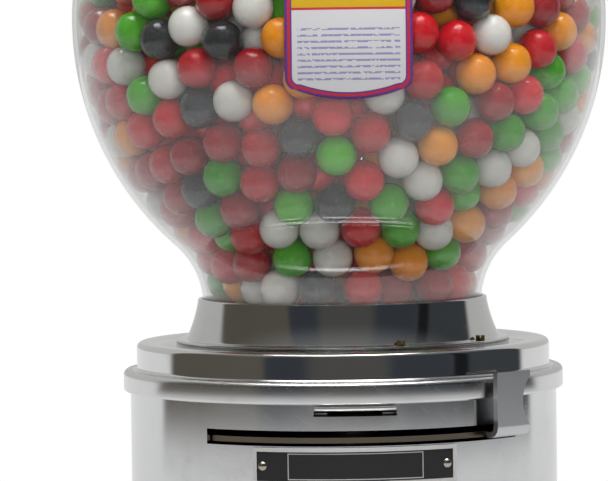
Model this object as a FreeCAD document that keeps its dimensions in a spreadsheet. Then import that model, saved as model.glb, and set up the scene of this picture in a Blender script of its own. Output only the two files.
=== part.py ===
import FreeCAD, Part
import math
import os
import random

import Sketcher

# Gumball machine worked by a side lever, in millimetres and degrees.
# +Z is up, the origin is under the middle of the feet and the front faces -Y.
# An azimuth is counted from the front towards +X.

SIZES = {
    # clearances
    "fit_gap": 0.3,
    "run_gap": 0.5,
    "hole_gap": 0.1,
    "bore_gap": 0.06,
    # feet, base plate and base ring
    "foot_height": 3,
    "foot_radius": 9,
    "foot_taper": 1.5,
    "foot_inset": 18,
    "foot_count": 4,
    "foot_first": 0,
    "stem_radius": 2.5,
    "plate_thick": 2,
    "plate_inset": 2.5,
    "stand_hole_radius": 3.25,
    "stand_circle": 50,
    "stand_count": 4,
    "stand_first": 45,
    "ring_overhang": 6,
    "ring_reach": 9,
    "ring_edge": 3.5,
    "ring_web": 3,
    "ring_collar": 6,
    "ring_lip": 1.5,
    "ring_flare": 9,
    "base_screw_inset": 5.6,
    "base_screw_count": 4,
    "base_screw_first": 45,
    "base_screw_radius": 1.5,
    "base_screw_head": 2.8,
    "base_screw_head_height": 1.4,
    # drum and its cover
    "shell_radius": 80,
    "shell_wall": 1.6,
    "shell_height": 94,
    "cover_wall": 2,
    "rim_overhang": 2.2,
    "rim_height": 8,
    "rim_round": 2,
    "step_height": 10,
    "step_inset": 2.5,
    "step_round": 2,
    "throat_gap": 3.5,
    # tie rod and its boss
    "rod_radius": 4,
    "rod_boss_radius": 8,
    "rod_boss_height": 14,
    "rod_flange_radius": 14,
    "rod_flange_thick": 3,
    "thrust_radius": 9,
    "thrust_height": 8,
    # collar and glass globe
    "collar_height": 16,
    "collar_foot_wall": 6.1,
    "collar_top_wall": 1.5,
    "collar_flange": 3.7,
    "collar_flange_thick": 1,
    "collar_ledge_thick": 2,
    "collar_flare": 70,
    "collar_screw_outset": 1.8,
    "collar_screw_radius": 1.2,
    "collar_screw_head": 1.7,
    "collar_screw_head_height": 1.9,
    "collar_screw_length": 4,
    "collar_screw_slot": 0.6,
    "collar_screw_first": 17.4,
    "collar_screw_apart": 36,
    "seal_thick": 1.5,
    "globe_radius": 100,
    "globe_wall": 3.8,
    "globe_lower_arc": 113,
    "globe_upper_arc": 100,
    "globe_belly": 115,
    "neck_radius": 52.4,
    "neck_fillet": 30,
    "mouth_radius": 46,
    "mouth_fillet": 4.5,
    "mouth_height": 5,
    # gumballs
    "ball_radius": 7.15,
    "ball_gap": 0.3,
    "ball_layer": 6,
    "ball_fill": 60,
    # lid and lock
    "lid_wall": 1.6,
    "lid_seal_thick": 2,
    "lid_skirt": 4.5,
    "lid_seat_width": 6.5,
    "lid_corner": 6,
    "lid_rise": 9,
    "lid_dome": 95,
    "lid_flat_radius": 16,
    "lock_radius": 11,
    "lock_flange_radius": 14.5,
    "lock_flange_thick": 3,
    "lock_depth": 12,
    "lock_nut_radius": 15,
    "lock_nut_thick": 4,
    "lock_plug_radius": 7,
    "lock_plug_proud": 0.6,
    "key_width": 1.6,
    "key_length": 8,
    "key_depth": 4,
    # hopper floor, dispensing wheel and deck
    "floor_thick": 1.5,
    "floor_lap": 2.8,
    "feed_circle": 34,
    "feed_radius": 9,
    "wheel_edge": 4.4,
    "wheel_play": 1,
    "wheel_web": 3,
    "wheel_rim": 3.5,
    "wheel_hub_radius": 9,
    "pocket_radius": 8.6,
    "pocket_wall": 2,
    "deck_thick": 1.5,
    "deck_edge": 4,
    "post_radius": 3,
    "post_outset": 4.5,
    "post_count": 3,
    "post_first": 15,
    "deck_screw_radius": 1.5,
    "deck_screw_head": 2.6,
    "deck_screw_head_height": 1.6,
    "deck_screw_length": 5,
    # coin path
    "coin_radius": 9.53,
    "coin_thick": 1.55,
    "coin_inset": 14,
    "coin_space": 3.5,
    "coin_play": 0.35,
    "carrier_thick": 0.7,
    "carrier_gap": 2,
    "carrier_ring": 15,
    "carrier_first": -18,
    "carrier_last": 14,
    "carrier_tab_height": 2.7,
    "lug_lead": 11.7,
    "lug_width": 6,
    "lug_length": 6,
    "lug_thick": 3,
    "return_tab_lead": 16.8,
    "rail_thick": 1.5,
    "rail_reach": 23,
    "rail_flange": 3,
    "rail_first": -62,
    "rail_last": 20,
    "slit_width": 29.6,
    "lip_height": 2.1,
    "lip_proud": 1.8,
    # lever and its return spring
    "lever_rest": 42,
    "lever_swing": 77,
    "lever_drop": 6.2,
    "lever_thick": 2,
    "lever_ring": 16,
    "arm_width": 12,
    "arm_root": 12,
    "fan_gap": 0.8,
    "fan_first": -44,
    "fan_last": 55,
    "coin_window": 10,
    "tab_width": 17.5,
    "tab_proud": 6.6,
    "tab_height": 23.6,
    "tab_bend": 4,
    "tab_neck": 1.6,
    "scallop_radius": 12,
    "scallop_depth": 4,
    "scallop_height": 12.6,
    "hub_radius": 9,
    "hub_tail": 12,
    "slot_height": 5.5,
    "slot_under": 0.9,
    "slot_margin": 1.5,
    "spring_radius": 11.6,
    "spring_wire": 1.3,
    "spring_pitch": 1.9,
    "spring_turns": 5,
    "spring_leg": 7,
    # nameplate
    "name_width": 53.4,
    "name_height": 13.5,
    "name_drop": 0.4,
    "name_thick": 1.1,
    "name_border": 1.5,
    "name_recess": 0.5,
    "rivet_radius": 1,
    "rivet_head": 1.7,
    "rivet_dome": 0.9,
    "rivet_inset": 3.4,
    # chute, outlet and coin box
    "chute_radius": 11.3,
    "chute_wall": 1.2,
    "chute_bend": 20,
    "chute_fall": 16,
    "chute_drop": 2,
    "outlet_width": 42,
    "outlet_height": 35,
    "outlet_proud": 8,
    "outlet_round": 5,
    "window_width": 30,
    "window_height": 27,
    "window_round": 3,
    "pin_radius": 1.5,
    "pin_setback": 3.5,
    "knuckle_radius": 2.8,
    "flap_thick": 1.6,
    "flap_lip": 3,
    "box_inset": 11,
    "box_height": 50,
    "box_wall": 1.2,
    "box_foot": 7,
    "box_notch_gap": 3.7,
    "box_notch_depth": 19,
    "box_core_gap": 2,
}
BALL_DECK = {"red": 5, "white": 2, "green": 2, "orange": 2, "black": 1}

doc = FreeCAD.newDocument("gumball_machine")
sheet = doc.addObject("Spreadsheet::Sheet", "Sizes")
for row, (alias, number) in enumerate(SIZES.items(), 1):
    sheet.set(f"A{row}", alias.replace("_", " "))
    sheet.set(f"B{row}", str(number))
    sheet.setAlias(f"B{row}", alias)
doc.recompute()


class Size:
    # A number together with the sheet formula that gives it.
    def __init__(self, value, formula):
        self.value = value
        self.formula = formula

    def __add__(self, other):
        other = as_size(other)
        return Size(self.value + other.value, f"({self.formula} + {other.formula})")

    def __sub__(self, other):
        other = as_size(other)
        return Size(self.value - other.value, f"({self.formula} - {other.formula})")

    def __mul__(self, other):
        other = as_size(other)
        return Size(self.value * other.value, f"({self.formula} * {other.formula})")

    def __truediv__(self, other):
        other = as_size(other)
        return Size(self.value / other.value, f"({self.formula} / {other.formula})")

    def __neg__(self):
        return Size(-self.value, f"(0 - {self.formula})")


def as_size(item):
    return item if isinstance(item, Size) else Size(float(item), f"({float(item)})")


class SizeBook:
    # Hands out the sheet's cells by their names.
    def __getattr__(self, alias):
        return Size(float(sheet.get(alias)), f"Sizes.{alias}")


def root(size):
    return Size(math.sqrt(size.value), f"sqrt({size.formula})")


def sine(angle):
    return Size(math.sin(math.radians(angle.value)), f"sin({angle.formula})")


def cosine(angle):
    return Size(math.cos(math.radians(angle.value)), f"cos({angle.formula})")


def tangent(angle):
    return Size(math.tan(math.radians(angle.value)), f"tan({angle.formula})")


def slope_angle(rise, run):
    ratio = rise / run
    return Size(math.degrees(math.atan(ratio.value)), f"(atan({ratio.formula}) / 1 deg)")


def arc_angle(width, radius):
    # The angle that a straight width takes up on a circle.
    ratio = width / (radius * 2)
    return Size(2 * math.degrees(math.asin(ratio.value)), f"(2 * asin({ratio.formula}) / 1 deg)")


def count_of(size):
    return int(round(size.value))


# Placing, primitives and booleans


def place(item, x=0, y=0, z=0, yaw=0, pitch=0, roll=0):
    x, y, z, yaw, pitch, roll = [as_size(part).formula for part in (x, y, z, yaw, pitch, roll)]
    spot = f"create(<<vector>>; {x}; {y}; {z})"
    turn = f"create(<<rotation>>; {yaw}; {pitch}; {roll})"
    item.setExpression("Placement", f"create(<<placement>>; {spot}; {turn})")
    return item


def primitive(kind, name, sizes, **spot):
    item = doc.addObject("Part::" + kind, name)
    for prop, size in sizes.items():
        item.setExpression(prop, as_size(size).formula)
    return place(item, **spot)


def cylinder(name, radius, height, **spot):
    return primitive("Cylinder", name, {"Radius": radius, "Height": height}, **spot)


def box(name, length, width, height, **spot):
    return primitive("Box", name, {"Length": length, "Width": width, "Height": height}, **spot)


def wedge(name, radius, height, low, first, last):
    # A pie slice between two azimuths.
    sizes = {"Radius": radius, "Height": height, "Angle": last - first}
    return primitive("Cylinder", name, sizes, z=low, yaw=first - 90)


def band(name, inner, outer, height, low, first, last):
    # A piece of a tube between two azimuths.
    core = cylinder(name + "_core", inner, height, z=low)
    return cut(name, wedge(name + "_slice", outer, height, low, first, last), core)


def tube(name, inner, outer, height, low):
    core = cylinder(name + "_core", inner, height, z=low)
    return cut(name, cylinder(name + "_solid", outer, height, z=low), core)


def spoke(name, radius, start, length, azimuth, height):
    # A round bar that points away from the axis.
    x = start * sine(azimuth)
    y = -(start * cosine(azimuth))
    return cylinder(name, radius, length, x=x, y=y, z=height, yaw=azimuth, roll=90)


def circle_of(name, radius, height, low, pitch_radius, azimuths):
    # Upright bars spread round the axis.
    bars = []
    for n, azimuth in enumerate(azimuths):
        x, y = pitch_radius * sine(azimuth), -(pitch_radius * cosine(azimuth))
        bars.append(cylinder(f"{name}_{n}", radius, height, x=x, y=y, z=low))
    return bars


def even_azimuths(count, first):
    return [first + as_size(360) * n / count for n in range(count_of(count))]


def cut(name, base, *tools):
    item = doc.addObject("Part::Cut", name)
    item.Base = base
    item.Tool = tools[0] if len(tools) == 1 else fuse(name + "_tools", *tools)
    return item


def fuse(name, *shapes):
    item = doc.addObject("Part::MultiFuse", name)
    item.Shapes = list(shapes)
    return item


def overlap_of(name, base, tool):
    item = doc.addObject("Part::Common", name)
    item.Base = base
    item.Tool = tool
    return item


def group(name, items):
    item = doc.addObject("Part::Compound", name)
    item.Links = items
    return item


# Sketches and bodies


def new_body(name):
    return doc.addObject("PartDesign::Body", name + "_body")


def new_sketch(body, name, plane, offset=None):
    sketch = body.newObject("Sketcher::SketchObject", name)
    flat = [item for item in body.Origin.OriginFeatures if item.Role == plane]
    sketch.AttachmentSupport = (flat[0], [""])
    sketch.MapMode = "FlatFace"
    if offset is not None:
        sketch.setExpression("AttachmentOffset.Base.z", as_size(offset).formula)
    return sketch


def arc_middle(start, end, radius):
    # The middle of a minor arc whose centre lies left of its run if the radius is positive.
    run = end.sub(start)
    sag = abs(radius) - math.sqrt(radius**2 - (run.Length / 2) ** 2)
    side = FreeCAD.Vector(run.y, -run.x, 0).normalize()
    return (start + end) * 0.5 + side * math.copysign(sag, radius)


def pin_point(sketch, line, end, point):
    for kind, size in zip(("DistanceX", "DistanceY"), point):
        index = sketch.addConstraint(Sketcher.Constraint(kind, -1, 1, line, end, size.value))
        sketch.setExpression(f"Constraints[{index}]", size.formula)


def draw(sketch, path, closed=True):
    # Joins the points by lines, or by an arc where a point carries the radius of the run that reaches it.
    points = [tuple(as_size(part) for part in step[:2]) for step in path]
    bends = [as_size(step[2]) if len(step) > 2 else None for step in path]
    spots = [FreeCAD.Vector(x.value, y.value, 0) for x, y in points]
    ends = []
    for n in range(len(path) if closed else len(path) - 1):
        following = (n + 1) % len(path)
        start, end, bend = spots[n], spots[following], bends[following]
        if bend is None:
            line = sketch.addGeometry(Part.LineSegment(start, end))
        else:
            middle = arc_middle(start, end, bend.value)
            run = (start, middle, end) if bend.value > 0 else (end, middle, start)
            line = sketch.addGeometry(Part.Arc(*run))
            arm = bend if bend.value > 0 else -bend
            index = sketch.addConstraint(Sketcher.Constraint("Radius", line, arm.value))
            sketch.setExpression(f"Constraints[{index}]", arm.formula)
        ends.append((line, 1, 2) if bend is None or bend.value > 0 else (line, 2, 1))
        pin_point(sketch, line, ends[-1][1], points[n])
    for n in range(len(ends) - (0 if closed else 1)):
        line, head = ends[n][0], ends[n][2]
        after, tail = ends[(n + 1) % len(ends)][:2]
        sketch.addConstraint(Sketcher.Constraint("Coincident", line, head, after, tail))
    if not closed:
        pin_point(sketch, ends[-1][0], ends[-1][2], points[-1])
    return sketch


def turned(name, path):
    # A body of revolution about the axis, from its half section (radius, height).
    body = new_body(name)
    sketch = draw(new_sketch(body, name + "_section", "XZ_Plane"), path)
    spin = body.newObject("PartDesign::Revolution", name + "_turn")
    spin.Profile = sketch
    spin.ReferenceAxis = (sketch, ["V_Axis"])
    spin.Angle = 360
    sketch.Visibility = False
    return body


def draw_circle(sketch, radius, x, y):
    x, y = as_size(x), as_size(y)
    middle, up = FreeCAD.Vector(x.value, y.value, 0), FreeCAD.Vector(0, 0, 1)
    line = sketch.addGeometry(Part.Circle(middle, up, radius.value))
    index = sketch.addConstraint(Sketcher.Constraint("Radius", line, radius.value))
    sketch.setExpression(f"Constraints[{index}]", radius.formula)
    pin_point(sketch, line, 3, (x, y))
    return sketch


s = SizeBook()
pieces = []


def keep(item, label):
    item.Label = label
    pieces.append(item)
    return item


# Levels, from the base up and from the cover down

plate_top = s.foot_height + s.plate_thick
ledge = plate_top + s.ring_web
shell_top = ledge + s.shell_height
rim_top = shell_top + s.cover_wall
rim_bottom = rim_top - s.rim_height
cover_top = rim_top + s.step_height
cover_under = cover_top - s.cover_wall
floor_top = cover_top + s.floor_thick
wheel_top = cover_top - s.run_gap
wheel_height = s.ball_radius * 2 + s.wheel_play
wheel_bottom = wheel_top - wheel_height
deck_top = wheel_bottom - s.run_gap
deck_bottom = deck_top - s.deck_thick
carrier_top = deck_bottom - s.coin_space
carrier_bottom = carrier_top - s.carrier_thick
rail_top = carrier_bottom - s.fit_gap
rail_bottom = rail_top - s.rail_thick
slit_height = s.coin_thick + s.coin_play
slit_top = rail_top + slit_height
lever_top = rail_bottom - s.lever_drop
lever_bottom = lever_top - s.lever_thick
slot_bottom = lever_bottom - s.slot_under
name_top = slot_bottom - s.name_drop
name_middle = name_top - s.name_height / 2
hub_bottom = lever_bottom - s.hub_tail
hub_top = deck_bottom - s.run_gap
thrust_top = hub_bottom - s.fit_gap
shell_inner = s.shell_radius - s.shell_wall
rod_bore = s.rod_radius + s.bore_gap
outlet_middle = ledge + s.ring_collar + s.fit_gap + s.outlet_height / 2

# Radii, from the drum's and from the wheel's

plate_radius = s.shell_radius - s.plate_inset
ring_radius = s.shell_radius + s.ring_overhang
ring_inner = s.shell_radius - s.ring_reach
base_screw_circle = s.shell_radius - s.base_screw_inset
foot_circle = s.shell_radius - s.foot_inset
box_radius = s.shell_radius - s.box_inset
box_notch_half = s.chute_radius + s.box_notch_gap
box_core_radius = s.rod_flange_radius + s.box_core_gap
step_radius = s.shell_radius - s.step_inset
coin_circle = s.shell_radius - s.coin_inset
carrier_radius = shell_inner - s.carrier_gap
rail_inner = s.shell_radius - s.rail_reach
tab_reach = s.shell_radius + s.tab_proud
outlet_front = s.shell_radius + s.outlet_proud
wheel_radius = s.feed_circle + s.pocket_radius + s.wheel_edge
throat_radius = wheel_radius + s.throat_gap
post_circle = throat_radius + s.post_outset
deck_radius = post_circle + s.deck_edge

# Levels and centres of the globe

seal_bottom = floor_top + s.collar_ledge_thick
neck_bottom = seal_bottom + s.seal_thick
collar_top = cover_top + s.collar_height
collar_bore = s.neck_radius + s.fit_gap
floor_radius = collar_bore + s.floor_lap
collar_foot_radius = collar_bore + s.collar_foot_wall
collar_flange_radius = collar_foot_radius + s.collar_flange
collar_screw_circle = collar_foot_radius + s.collar_screw_outset
neck_inner = s.neck_radius - s.globe_wall
mouth_inner = s.mouth_radius - s.globe_wall
belly = neck_bottom + s.globe_belly
lower_centre = s.globe_radius - s.globe_lower_arc
upper_centre = s.globe_radius - s.globe_upper_arc


def square(size):
    return size * size


neck_reach = s.neck_radius + s.neck_fillet - lower_centre
neck_sum = s.globe_lower_arc + s.neck_fillet
neck_fall = root(square(neck_sum) - square(neck_reach))
mouth_reach = s.mouth_radius + s.mouth_fillet - upper_centre
mouth_sum = s.globe_upper_arc + s.mouth_fillet
mouth_climb = root(square(mouth_sum) - square(mouth_reach))
mouth_top = belly + mouth_climb + s.mouth_height
lid_seat = mouth_top + s.lid_seal_thick


def neck_tangent(radius):
    # Where an arc of this radius about the lower centre runs on into the neck's fillet.
    share = radius / neck_sum
    return lower_centre + neck_reach * share, belly - neck_fall * share


def mouth_tangent(radius):
    share = radius / mouth_sum
    return upper_centre + mouth_reach * share, belly + mouth_climb * share


# Base


def base_ring():
    outer = s.shell_radius + s.fit_gap
    plate_hole = plate_radius + s.fit_gap
    top = ledge + s.ring_collar
    ring = turned("base_ring", [
        (ring_inner, plate_top),
        (plate_hole, plate_top),
        (plate_hole, s.foot_height),
        (ring_radius, s.foot_height),
        (ring_radius, s.foot_height + s.ring_edge),
        (outer + s.ring_lip, top, -s.ring_flare),
        (outer, top),
        (outer, ledge),
        (ring_inner, ledge),
    ])
    holes = circle_of("ring_hole", s.base_screw_radius + s.hole_gap, s.ring_web, plate_top,
                      base_screw_circle, even_azimuths(s.base_screw_count, s.base_screw_first))
    keep(cut("base_ring", ring, *holes), "base_ring")


def base_plate():
    disc = cylinder("plate_disc", plate_radius, s.plate_thick, z=s.foot_height)
    stem, fixing = s.stem_radius + s.hole_gap, s.base_screw_radius + s.hole_gap
    rows = [
        ("stand", s.stand_hole_radius, s.stand_circle, s.stand_count, s.stand_first),
        ("stem", stem, foot_circle, s.foot_count, s.foot_first),
        ("fixing", fixing, base_screw_circle, s.base_screw_count, s.base_screw_first),
    ]
    holes = []
    for name, radius, pitch_radius, count, first in rows:
        azimuths = even_azimuths(count, first)
        holes += circle_of(name + "_hole", radius, s.plate_thick, s.foot_height, pitch_radius, azimuths)
    keep(cut("base_plate", disc, *holes), "base_plate")


def base_screws():
    azimuths = even_azimuths(s.base_screw_count, s.base_screw_first)
    heads = circle_of("base_head", s.base_screw_head, s.base_screw_head_height,
                      s.foot_height - s.base_screw_head_height, base_screw_circle, azimuths)
    shanks = circle_of("base_shank", s.base_screw_radius, s.plate_thick + s.ring_web,
                       s.foot_height, base_screw_circle, azimuths)
    screws = [fuse(f"base_screw_{n}", *pair) for n, pair in enumerate(zip(heads, shanks))]
    keep(group("base_screws", screws), "base_screws")


def rubber_feet():
    azimuths = even_azimuths(s.foot_count, s.foot_first)
    stems = circle_of("foot_stem", s.stem_radius, s.plate_thick, s.foot_height, foot_circle, azimuths)
    feet = []
    for n, (azimuth, stem) in enumerate(zip(azimuths, stems)):
        sizes = {"Radius1": s.foot_radius - s.foot_taper, "Radius2": s.foot_radius, "Height": s.foot_height}
        pad = primitive("Cone", f"foot_pad_{n}", sizes,
                        x=foot_circle * sine(azimuth), y=-(foot_circle * cosine(azimuth)))
        feet.append(fuse(f"foot_{n}", pad, stem))
    keep(group("rubber_feet", feet), "rubber_feet")


def tie_rod():
    top = lid_seat + s.lid_rise - s.run_gap
    keep(cylinder("tie_rod", s.rod_radius, top - plate_top, z=plate_top), "tie_rod")


def rod_boss():
    shoulder = plate_top + s.rod_flange_thick
    keep(turned("rod_boss", [
        (rod_bore, plate_top),
        (s.rod_flange_radius, plate_top),
        (s.rod_flange_radius, shoulder),
        (s.rod_boss_radius, shoulder),
        (s.rod_boss_radius, plate_top + s.rod_boss_height),
        (rod_bore, plate_top + s.rod_boss_height),
    ]), "rod_boss")


def coin_box():
    # An open pan round the rod, notched at the front for the chute, on a skirt that clears the stand bolts.
    def block(name, inset, low, height):
        half = box_notch_half + inset
        notch = box(name + "_notch", half * 2, box_radius, height,
                    x=-half, y=-(box_radius + s.box_notch_depth - inset), z=low)
        pillar = cylinder(name + "_pillar", box_core_radius + inset, height, z=low)
        disc = cylinder(name + "_disc", box_radius - inset, height, z=low)
        return cut(name, disc, notch, pillar)

    outer = block("box_outer", as_size(0), plate_top, s.box_height)
    inner = block("box_inner", s.box_wall, plate_top + s.box_foot + s.box_wall, s.box_height)
    under = block("box_under", s.box_wall, plate_top, s.box_foot)
    keep(cut("coin_box", outer, inner, under), "coin_box")


# Drum, cover and front trim


def slot_azimuths():
    half = arc_angle(s.arm_width, shell_inner) / 2 + s.slot_margin
    return s.lever_rest - s.lever_swing - half, s.lever_rest + half


def rivet_azimuths():
    edge = s.name_width / 2 - arc_angle(s.rivet_inset, s.shell_radius)
    return -edge, edge


def rivet_holes(name):
    radius, start = s.rivet_radius + s.hole_gap, shell_inner - s.shell_wall
    length = s.shell_radius + s.name_thick * 2 - start
    holes = []
    for n, azimuth in enumerate(rivet_azimuths()):
        holes.append(spoke(f"{name}_{n}", radius, start, length, azimuth, name_middle))
    return holes


def body_shell():
    drum = tube("drum", shell_inner, s.shell_radius, s.shell_height, ledge)
    first, last = slot_azimuths()
    slit = arc_angle(s.slit_width, s.shell_radius) / 2
    window = box("shell_window", s.window_width, outlet_front, s.window_height,
                 x=-(s.window_width / 2), y=-outlet_front, z=outlet_middle - s.window_height / 2)
    tools = [
        wedge("lever_slot", ring_radius, s.slot_height, slot_bottom, first, last),
        wedge("coin_slit", ring_radius, slit_height, rail_top, -slit, slit),
        window,
    ]
    keep(cut("body_shell", drum, *tools, *rivet_holes("shell_rivet_hole")), "body_shell")


def top_cover():
    skirt = s.shell_radius + s.fit_gap
    rim = skirt + s.rim_overhang
    inner = step_radius - s.cover_wall
    small = s.rim_round / 2
    cover = turned("top_cover", [
        (throat_radius, cover_under),
        (inner, cover_under),
        (inner, shell_top),
        (skirt, shell_top),
        (skirt, rim_bottom),
        (rim - small, rim_bottom),
        (rim, rim_bottom + small, small),
        (rim, rim_top - s.rim_round),
        (rim - s.rim_round, rim_top, s.rim_round),
        (step_radius + small, rim_top),
        (step_radius, rim_top + small, -small),
        (step_radius, cover_top - s.step_round),
        (step_radius - s.step_round, cover_top, s.step_round),
        (throat_radius, cover_top),
    ])
    holes = circle_of("cover_hole", s.collar_screw_radius + s.hole_gap, s.cover_wall, cover_under,
                      collar_screw_circle, collar_screw_azimuths())
    keep(cut("top_cover", cover, *holes), "top_cover")


def coin_slot_lip():
    half = arc_angle(s.slit_width, s.shell_radius) / 2
    outer = s.shell_radius + s.lip_proud
    keep(band("coin_slot_lip", s.shell_radius, outer, s.lip_height, slit_top, -half, half), "coin_slot_lip")


def nameplate():
    half = s.name_width / 2
    edge = arc_angle(s.name_border, s.shell_radius)
    outer = s.shell_radius + s.name_thick
    low = name_top - s.name_height
    plate = band("name_blank", s.shell_radius, outer, s.name_height, low, -half, half)
    field = band("name_field", outer - s.name_recess, outer + s.name_thick, s.name_height - s.name_border * 2,
                 low + s.name_border, edge - half, half - edge)
    keep(cut("nameplate", plate, field, *rivet_holes("name_hole")), "nameplate")


def nameplate_rivets():
    seat = s.shell_radius + s.name_thick - s.name_recess
    start = shell_inner - s.rivet_dome
    # The dome is a cap of the sphere that has this head radius at this height.
    ball = (square(s.rivet_head) + square(s.rivet_dome)) / (s.rivet_dome * 2)
    rivets = []
    for n, azimuth in enumerate(rivet_azimuths()):
        deep = seat + s.rivet_dome - ball
        globe = primitive("Sphere", f"rivet_ball_{n}", {"Radius": ball},
                          x=deep * sine(azimuth), y=-(deep * cosine(azimuth)), z=name_middle)
        gate = spoke(f"rivet_gate_{n}", ball, seat, ball * 2, azimuth, name_middle)
        cap = overlap_of(f"rivet_cap_{n}", globe, gate)
        shank = spoke(f"rivet_shank_{n}", s.rivet_radius, start, seat - start, azimuth, name_middle)
        rivets.append(fuse(f"rivet_{n}", cap, shank))
    keep(group("nameplate_rivets", rivets), "nameplate_rivets")


# Globe and collar


def collar_screw_azimuths():
    pair = [s.collar_screw_first, s.collar_screw_first + s.collar_screw_apart]
    return pair + [azimuth + 180 for azimuth in pair]


def globe_collar():
    flange_top = cover_top + s.collar_flange_thick
    recess = floor_radius + s.fit_gap
    collar = turned("globe_collar", [
        (recess, cover_top),
        (collar_flange_radius, cover_top),
        (collar_flange_radius, flange_top),
        (collar_foot_radius, flange_top),
        (collar_bore + s.collar_top_wall, collar_top, -s.collar_flare),
        (collar_bore, collar_top),
        (collar_bore, seal_bottom),
        (neck_inner, seal_bottom),
        (neck_inner, floor_top),
        (recess, floor_top),
    ])
    holes = circle_of("collar_hole", s.collar_screw_radius + s.hole_gap, s.collar_flange_thick, cover_top,
                      collar_screw_circle, collar_screw_azimuths())
    keep(cut("globe_collar", collar, *holes), "globe_collar")


def collar_screws():
    seat = cover_top + s.collar_flange_thick
    azimuths = collar_screw_azimuths()
    heads = circle_of("collar_head", s.collar_screw_head, s.collar_screw_head_height, seat,
                      collar_screw_circle, azimuths)
    shanks = circle_of("collar_shank", s.collar_screw_radius, s.collar_screw_length,
                       seat - s.collar_screw_length, collar_screw_circle, azimuths)
    screws = []
    for n, (azimuth, head, shank) in enumerate(zip(azimuths, heads, shanks)):
        width = s.collar_screw_slot
        slot = box(f"collar_drive_{n}", width, s.collar_screw_head * 2, s.collar_screw_head_height,
                   x=collar_screw_circle * sine(azimuth) - width / 2,
                   y=-(collar_screw_circle * cosine(azimuth)) - s.collar_screw_head,
                   z=seat + s.collar_screw_head_height / 2)
        screws.append(cut(f"collar_screw_{n}", fuse(f"collar_screw_blank_{n}", head, shank), slot))
    keep(group("collar_screws", screws), "collar_screws")


def globe_seal():
    keep(tube("globe_seal", neck_inner, s.neck_radius, s.seal_thick, seal_bottom), "globe_seal")


def glass_globe():
    lower_out, lower_in = s.globe_lower_arc, s.globe_lower_arc - s.globe_wall
    upper_out, upper_in = s.globe_upper_arc, s.globe_upper_arc - s.globe_wall
    keep(turned("glass_globe", [
        (neck_inner, neck_bottom),
        (s.neck_radius, neck_bottom),
        (s.neck_radius, belly - neck_fall),
        (*neck_tangent(lower_out), -s.neck_fillet),
        (s.globe_radius, belly, lower_out),
        (*mouth_tangent(upper_out), upper_out),
        (s.mouth_radius, belly + mouth_climb, -s.mouth_fillet),
        (s.mouth_radius, mouth_top),
        (mouth_inner, mouth_top),
        (mouth_inner, belly + mouth_climb),
        (*mouth_tangent(upper_in), s.mouth_fillet + s.globe_wall),
        (s.globe_radius - s.globe_wall, belly, -upper_in),
        (*neck_tangent(lower_in), -lower_in),
        (neck_inner, belly - neck_fall, s.neck_fillet + s.globe_wall),
    ]), "glass_globe")


# Gumballs

ball_depth = s.globe_wall + s.ball_radius + s.ball_gap
core_depth = s.globe_wall + s.ball_radius * 2 + s.ball_gap * 2 + s.ball_layer
core_top = belly + s.ball_fill - s.ball_radius * 2


def gumball_core():
    # The gumballs hidden in the middle, as one mass round the rod.
    lower, upper = s.globe_lower_arc - core_depth, s.globe_upper_arc - core_depth
    bore = s.rod_radius + s.fit_gap
    top_radius = upper_centre + root(square(upper) - square(core_top - belly))
    keep(turned("gumball_core", [
        (bore, floor_top + s.fit_gap),
        (s.neck_radius - core_depth, floor_top + s.fit_gap),
        (s.neck_radius - core_depth, belly - neck_fall),
        (*neck_tangent(lower), -(s.neck_fillet + core_depth)),
        (s.globe_radius - core_depth, belly, lower),
        (top_radius, core_top, upper),
        (bore, core_top),
    ]), "gumball_core")


def wall_limit(height, depth):
    # How far from the axis a point this high over the floor can be, this deep under the glass's outside.
    fall = (belly - neck_fall - floor_top).value
    if height <= fall:
        return s.neck_radius.value - depth
    middle = (belly - floor_top).value
    if height >= middle:
        arm = s.globe_upper_arc.value - depth
        return upper_centre.value + math.sqrt(max(arm**2 - (height - middle) ** 2, 0))
    arm = s.globe_lower_arc.value - depth
    if height >= middle - neck_fall.value * arm / neck_sum.value:
        return lower_centre.value + math.sqrt(arm**2 - (height - middle) ** 2)
    fillet = s.neck_fillet.value + depth
    return s.neck_radius.value + s.neck_fillet.value - math.sqrt(max(fillet**2 - (height - fall) ** 2, 0))


def settle(spot, low, top_bed, sink):
    # Lets a centre sink towards the glass or the bed on top, clear of the glass, the rod and the core.
    x, y, z = spot
    far = math.hypot(x, y) or sink
    reach = far
    if z >= top_bed:
        z = max(z - sink, top_bed)
    else:
        reach += sink
    z = max(z, low)
    outer = wall_limit(z, ball_depth.value)
    inner = outer - s.ball_layer.value
    if z < top_bed and reach < inner:
        if top_bed - z < inner - reach:
            z = top_bed
        else:
            reach = inner
    rod = s.rod_radius.value + s.ball_radius.value + s.ball_gap.value
    reach = min(max(reach, rod), outer)
    return [x * reach / far, y * reach / far, z]


def close_pairs(spots, span):
    cells = {}
    for n, spot in enumerate(spots):
        cells.setdefault(tuple(int(part // span) for part in spot), []).append(n)
    around = [(i, j, k) for i in (-1, 0, 1) for j in (-1, 0, 1) for k in (-1, 0, 1)]
    for (i, j, k), members in cells.items():
        near = [m for di, dj, dk in around for m in cells.get((i + di, j + dj, k + dk), ())]
        for n in members:
            for m in near:
                if m > n:
                    yield n, m


def push_apart(spots, span):
    for n, m in close_pairs(spots, span):
        gap = math.dist(spots[n], spots[m]) or span / 100
        if gap < span:
            push = (span - gap) / 2 / gap
            for axis in range(3):
                step = (spots[m][axis] - spots[n][axis]) * push
                spots[n][axis] -= step
                spots[m][axis] += step


def without_crowded(spots, span):
    # Takes out one ball of each pair that still lies closer than the span.
    out = set()
    for n, m in close_pairs(spots, span):
        if n not in out and m not in out and math.dist(spots[n], spots[m]) < span:
            out.add(m)
    return [spot for n, spot in enumerate(spots) if n not in out]


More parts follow.
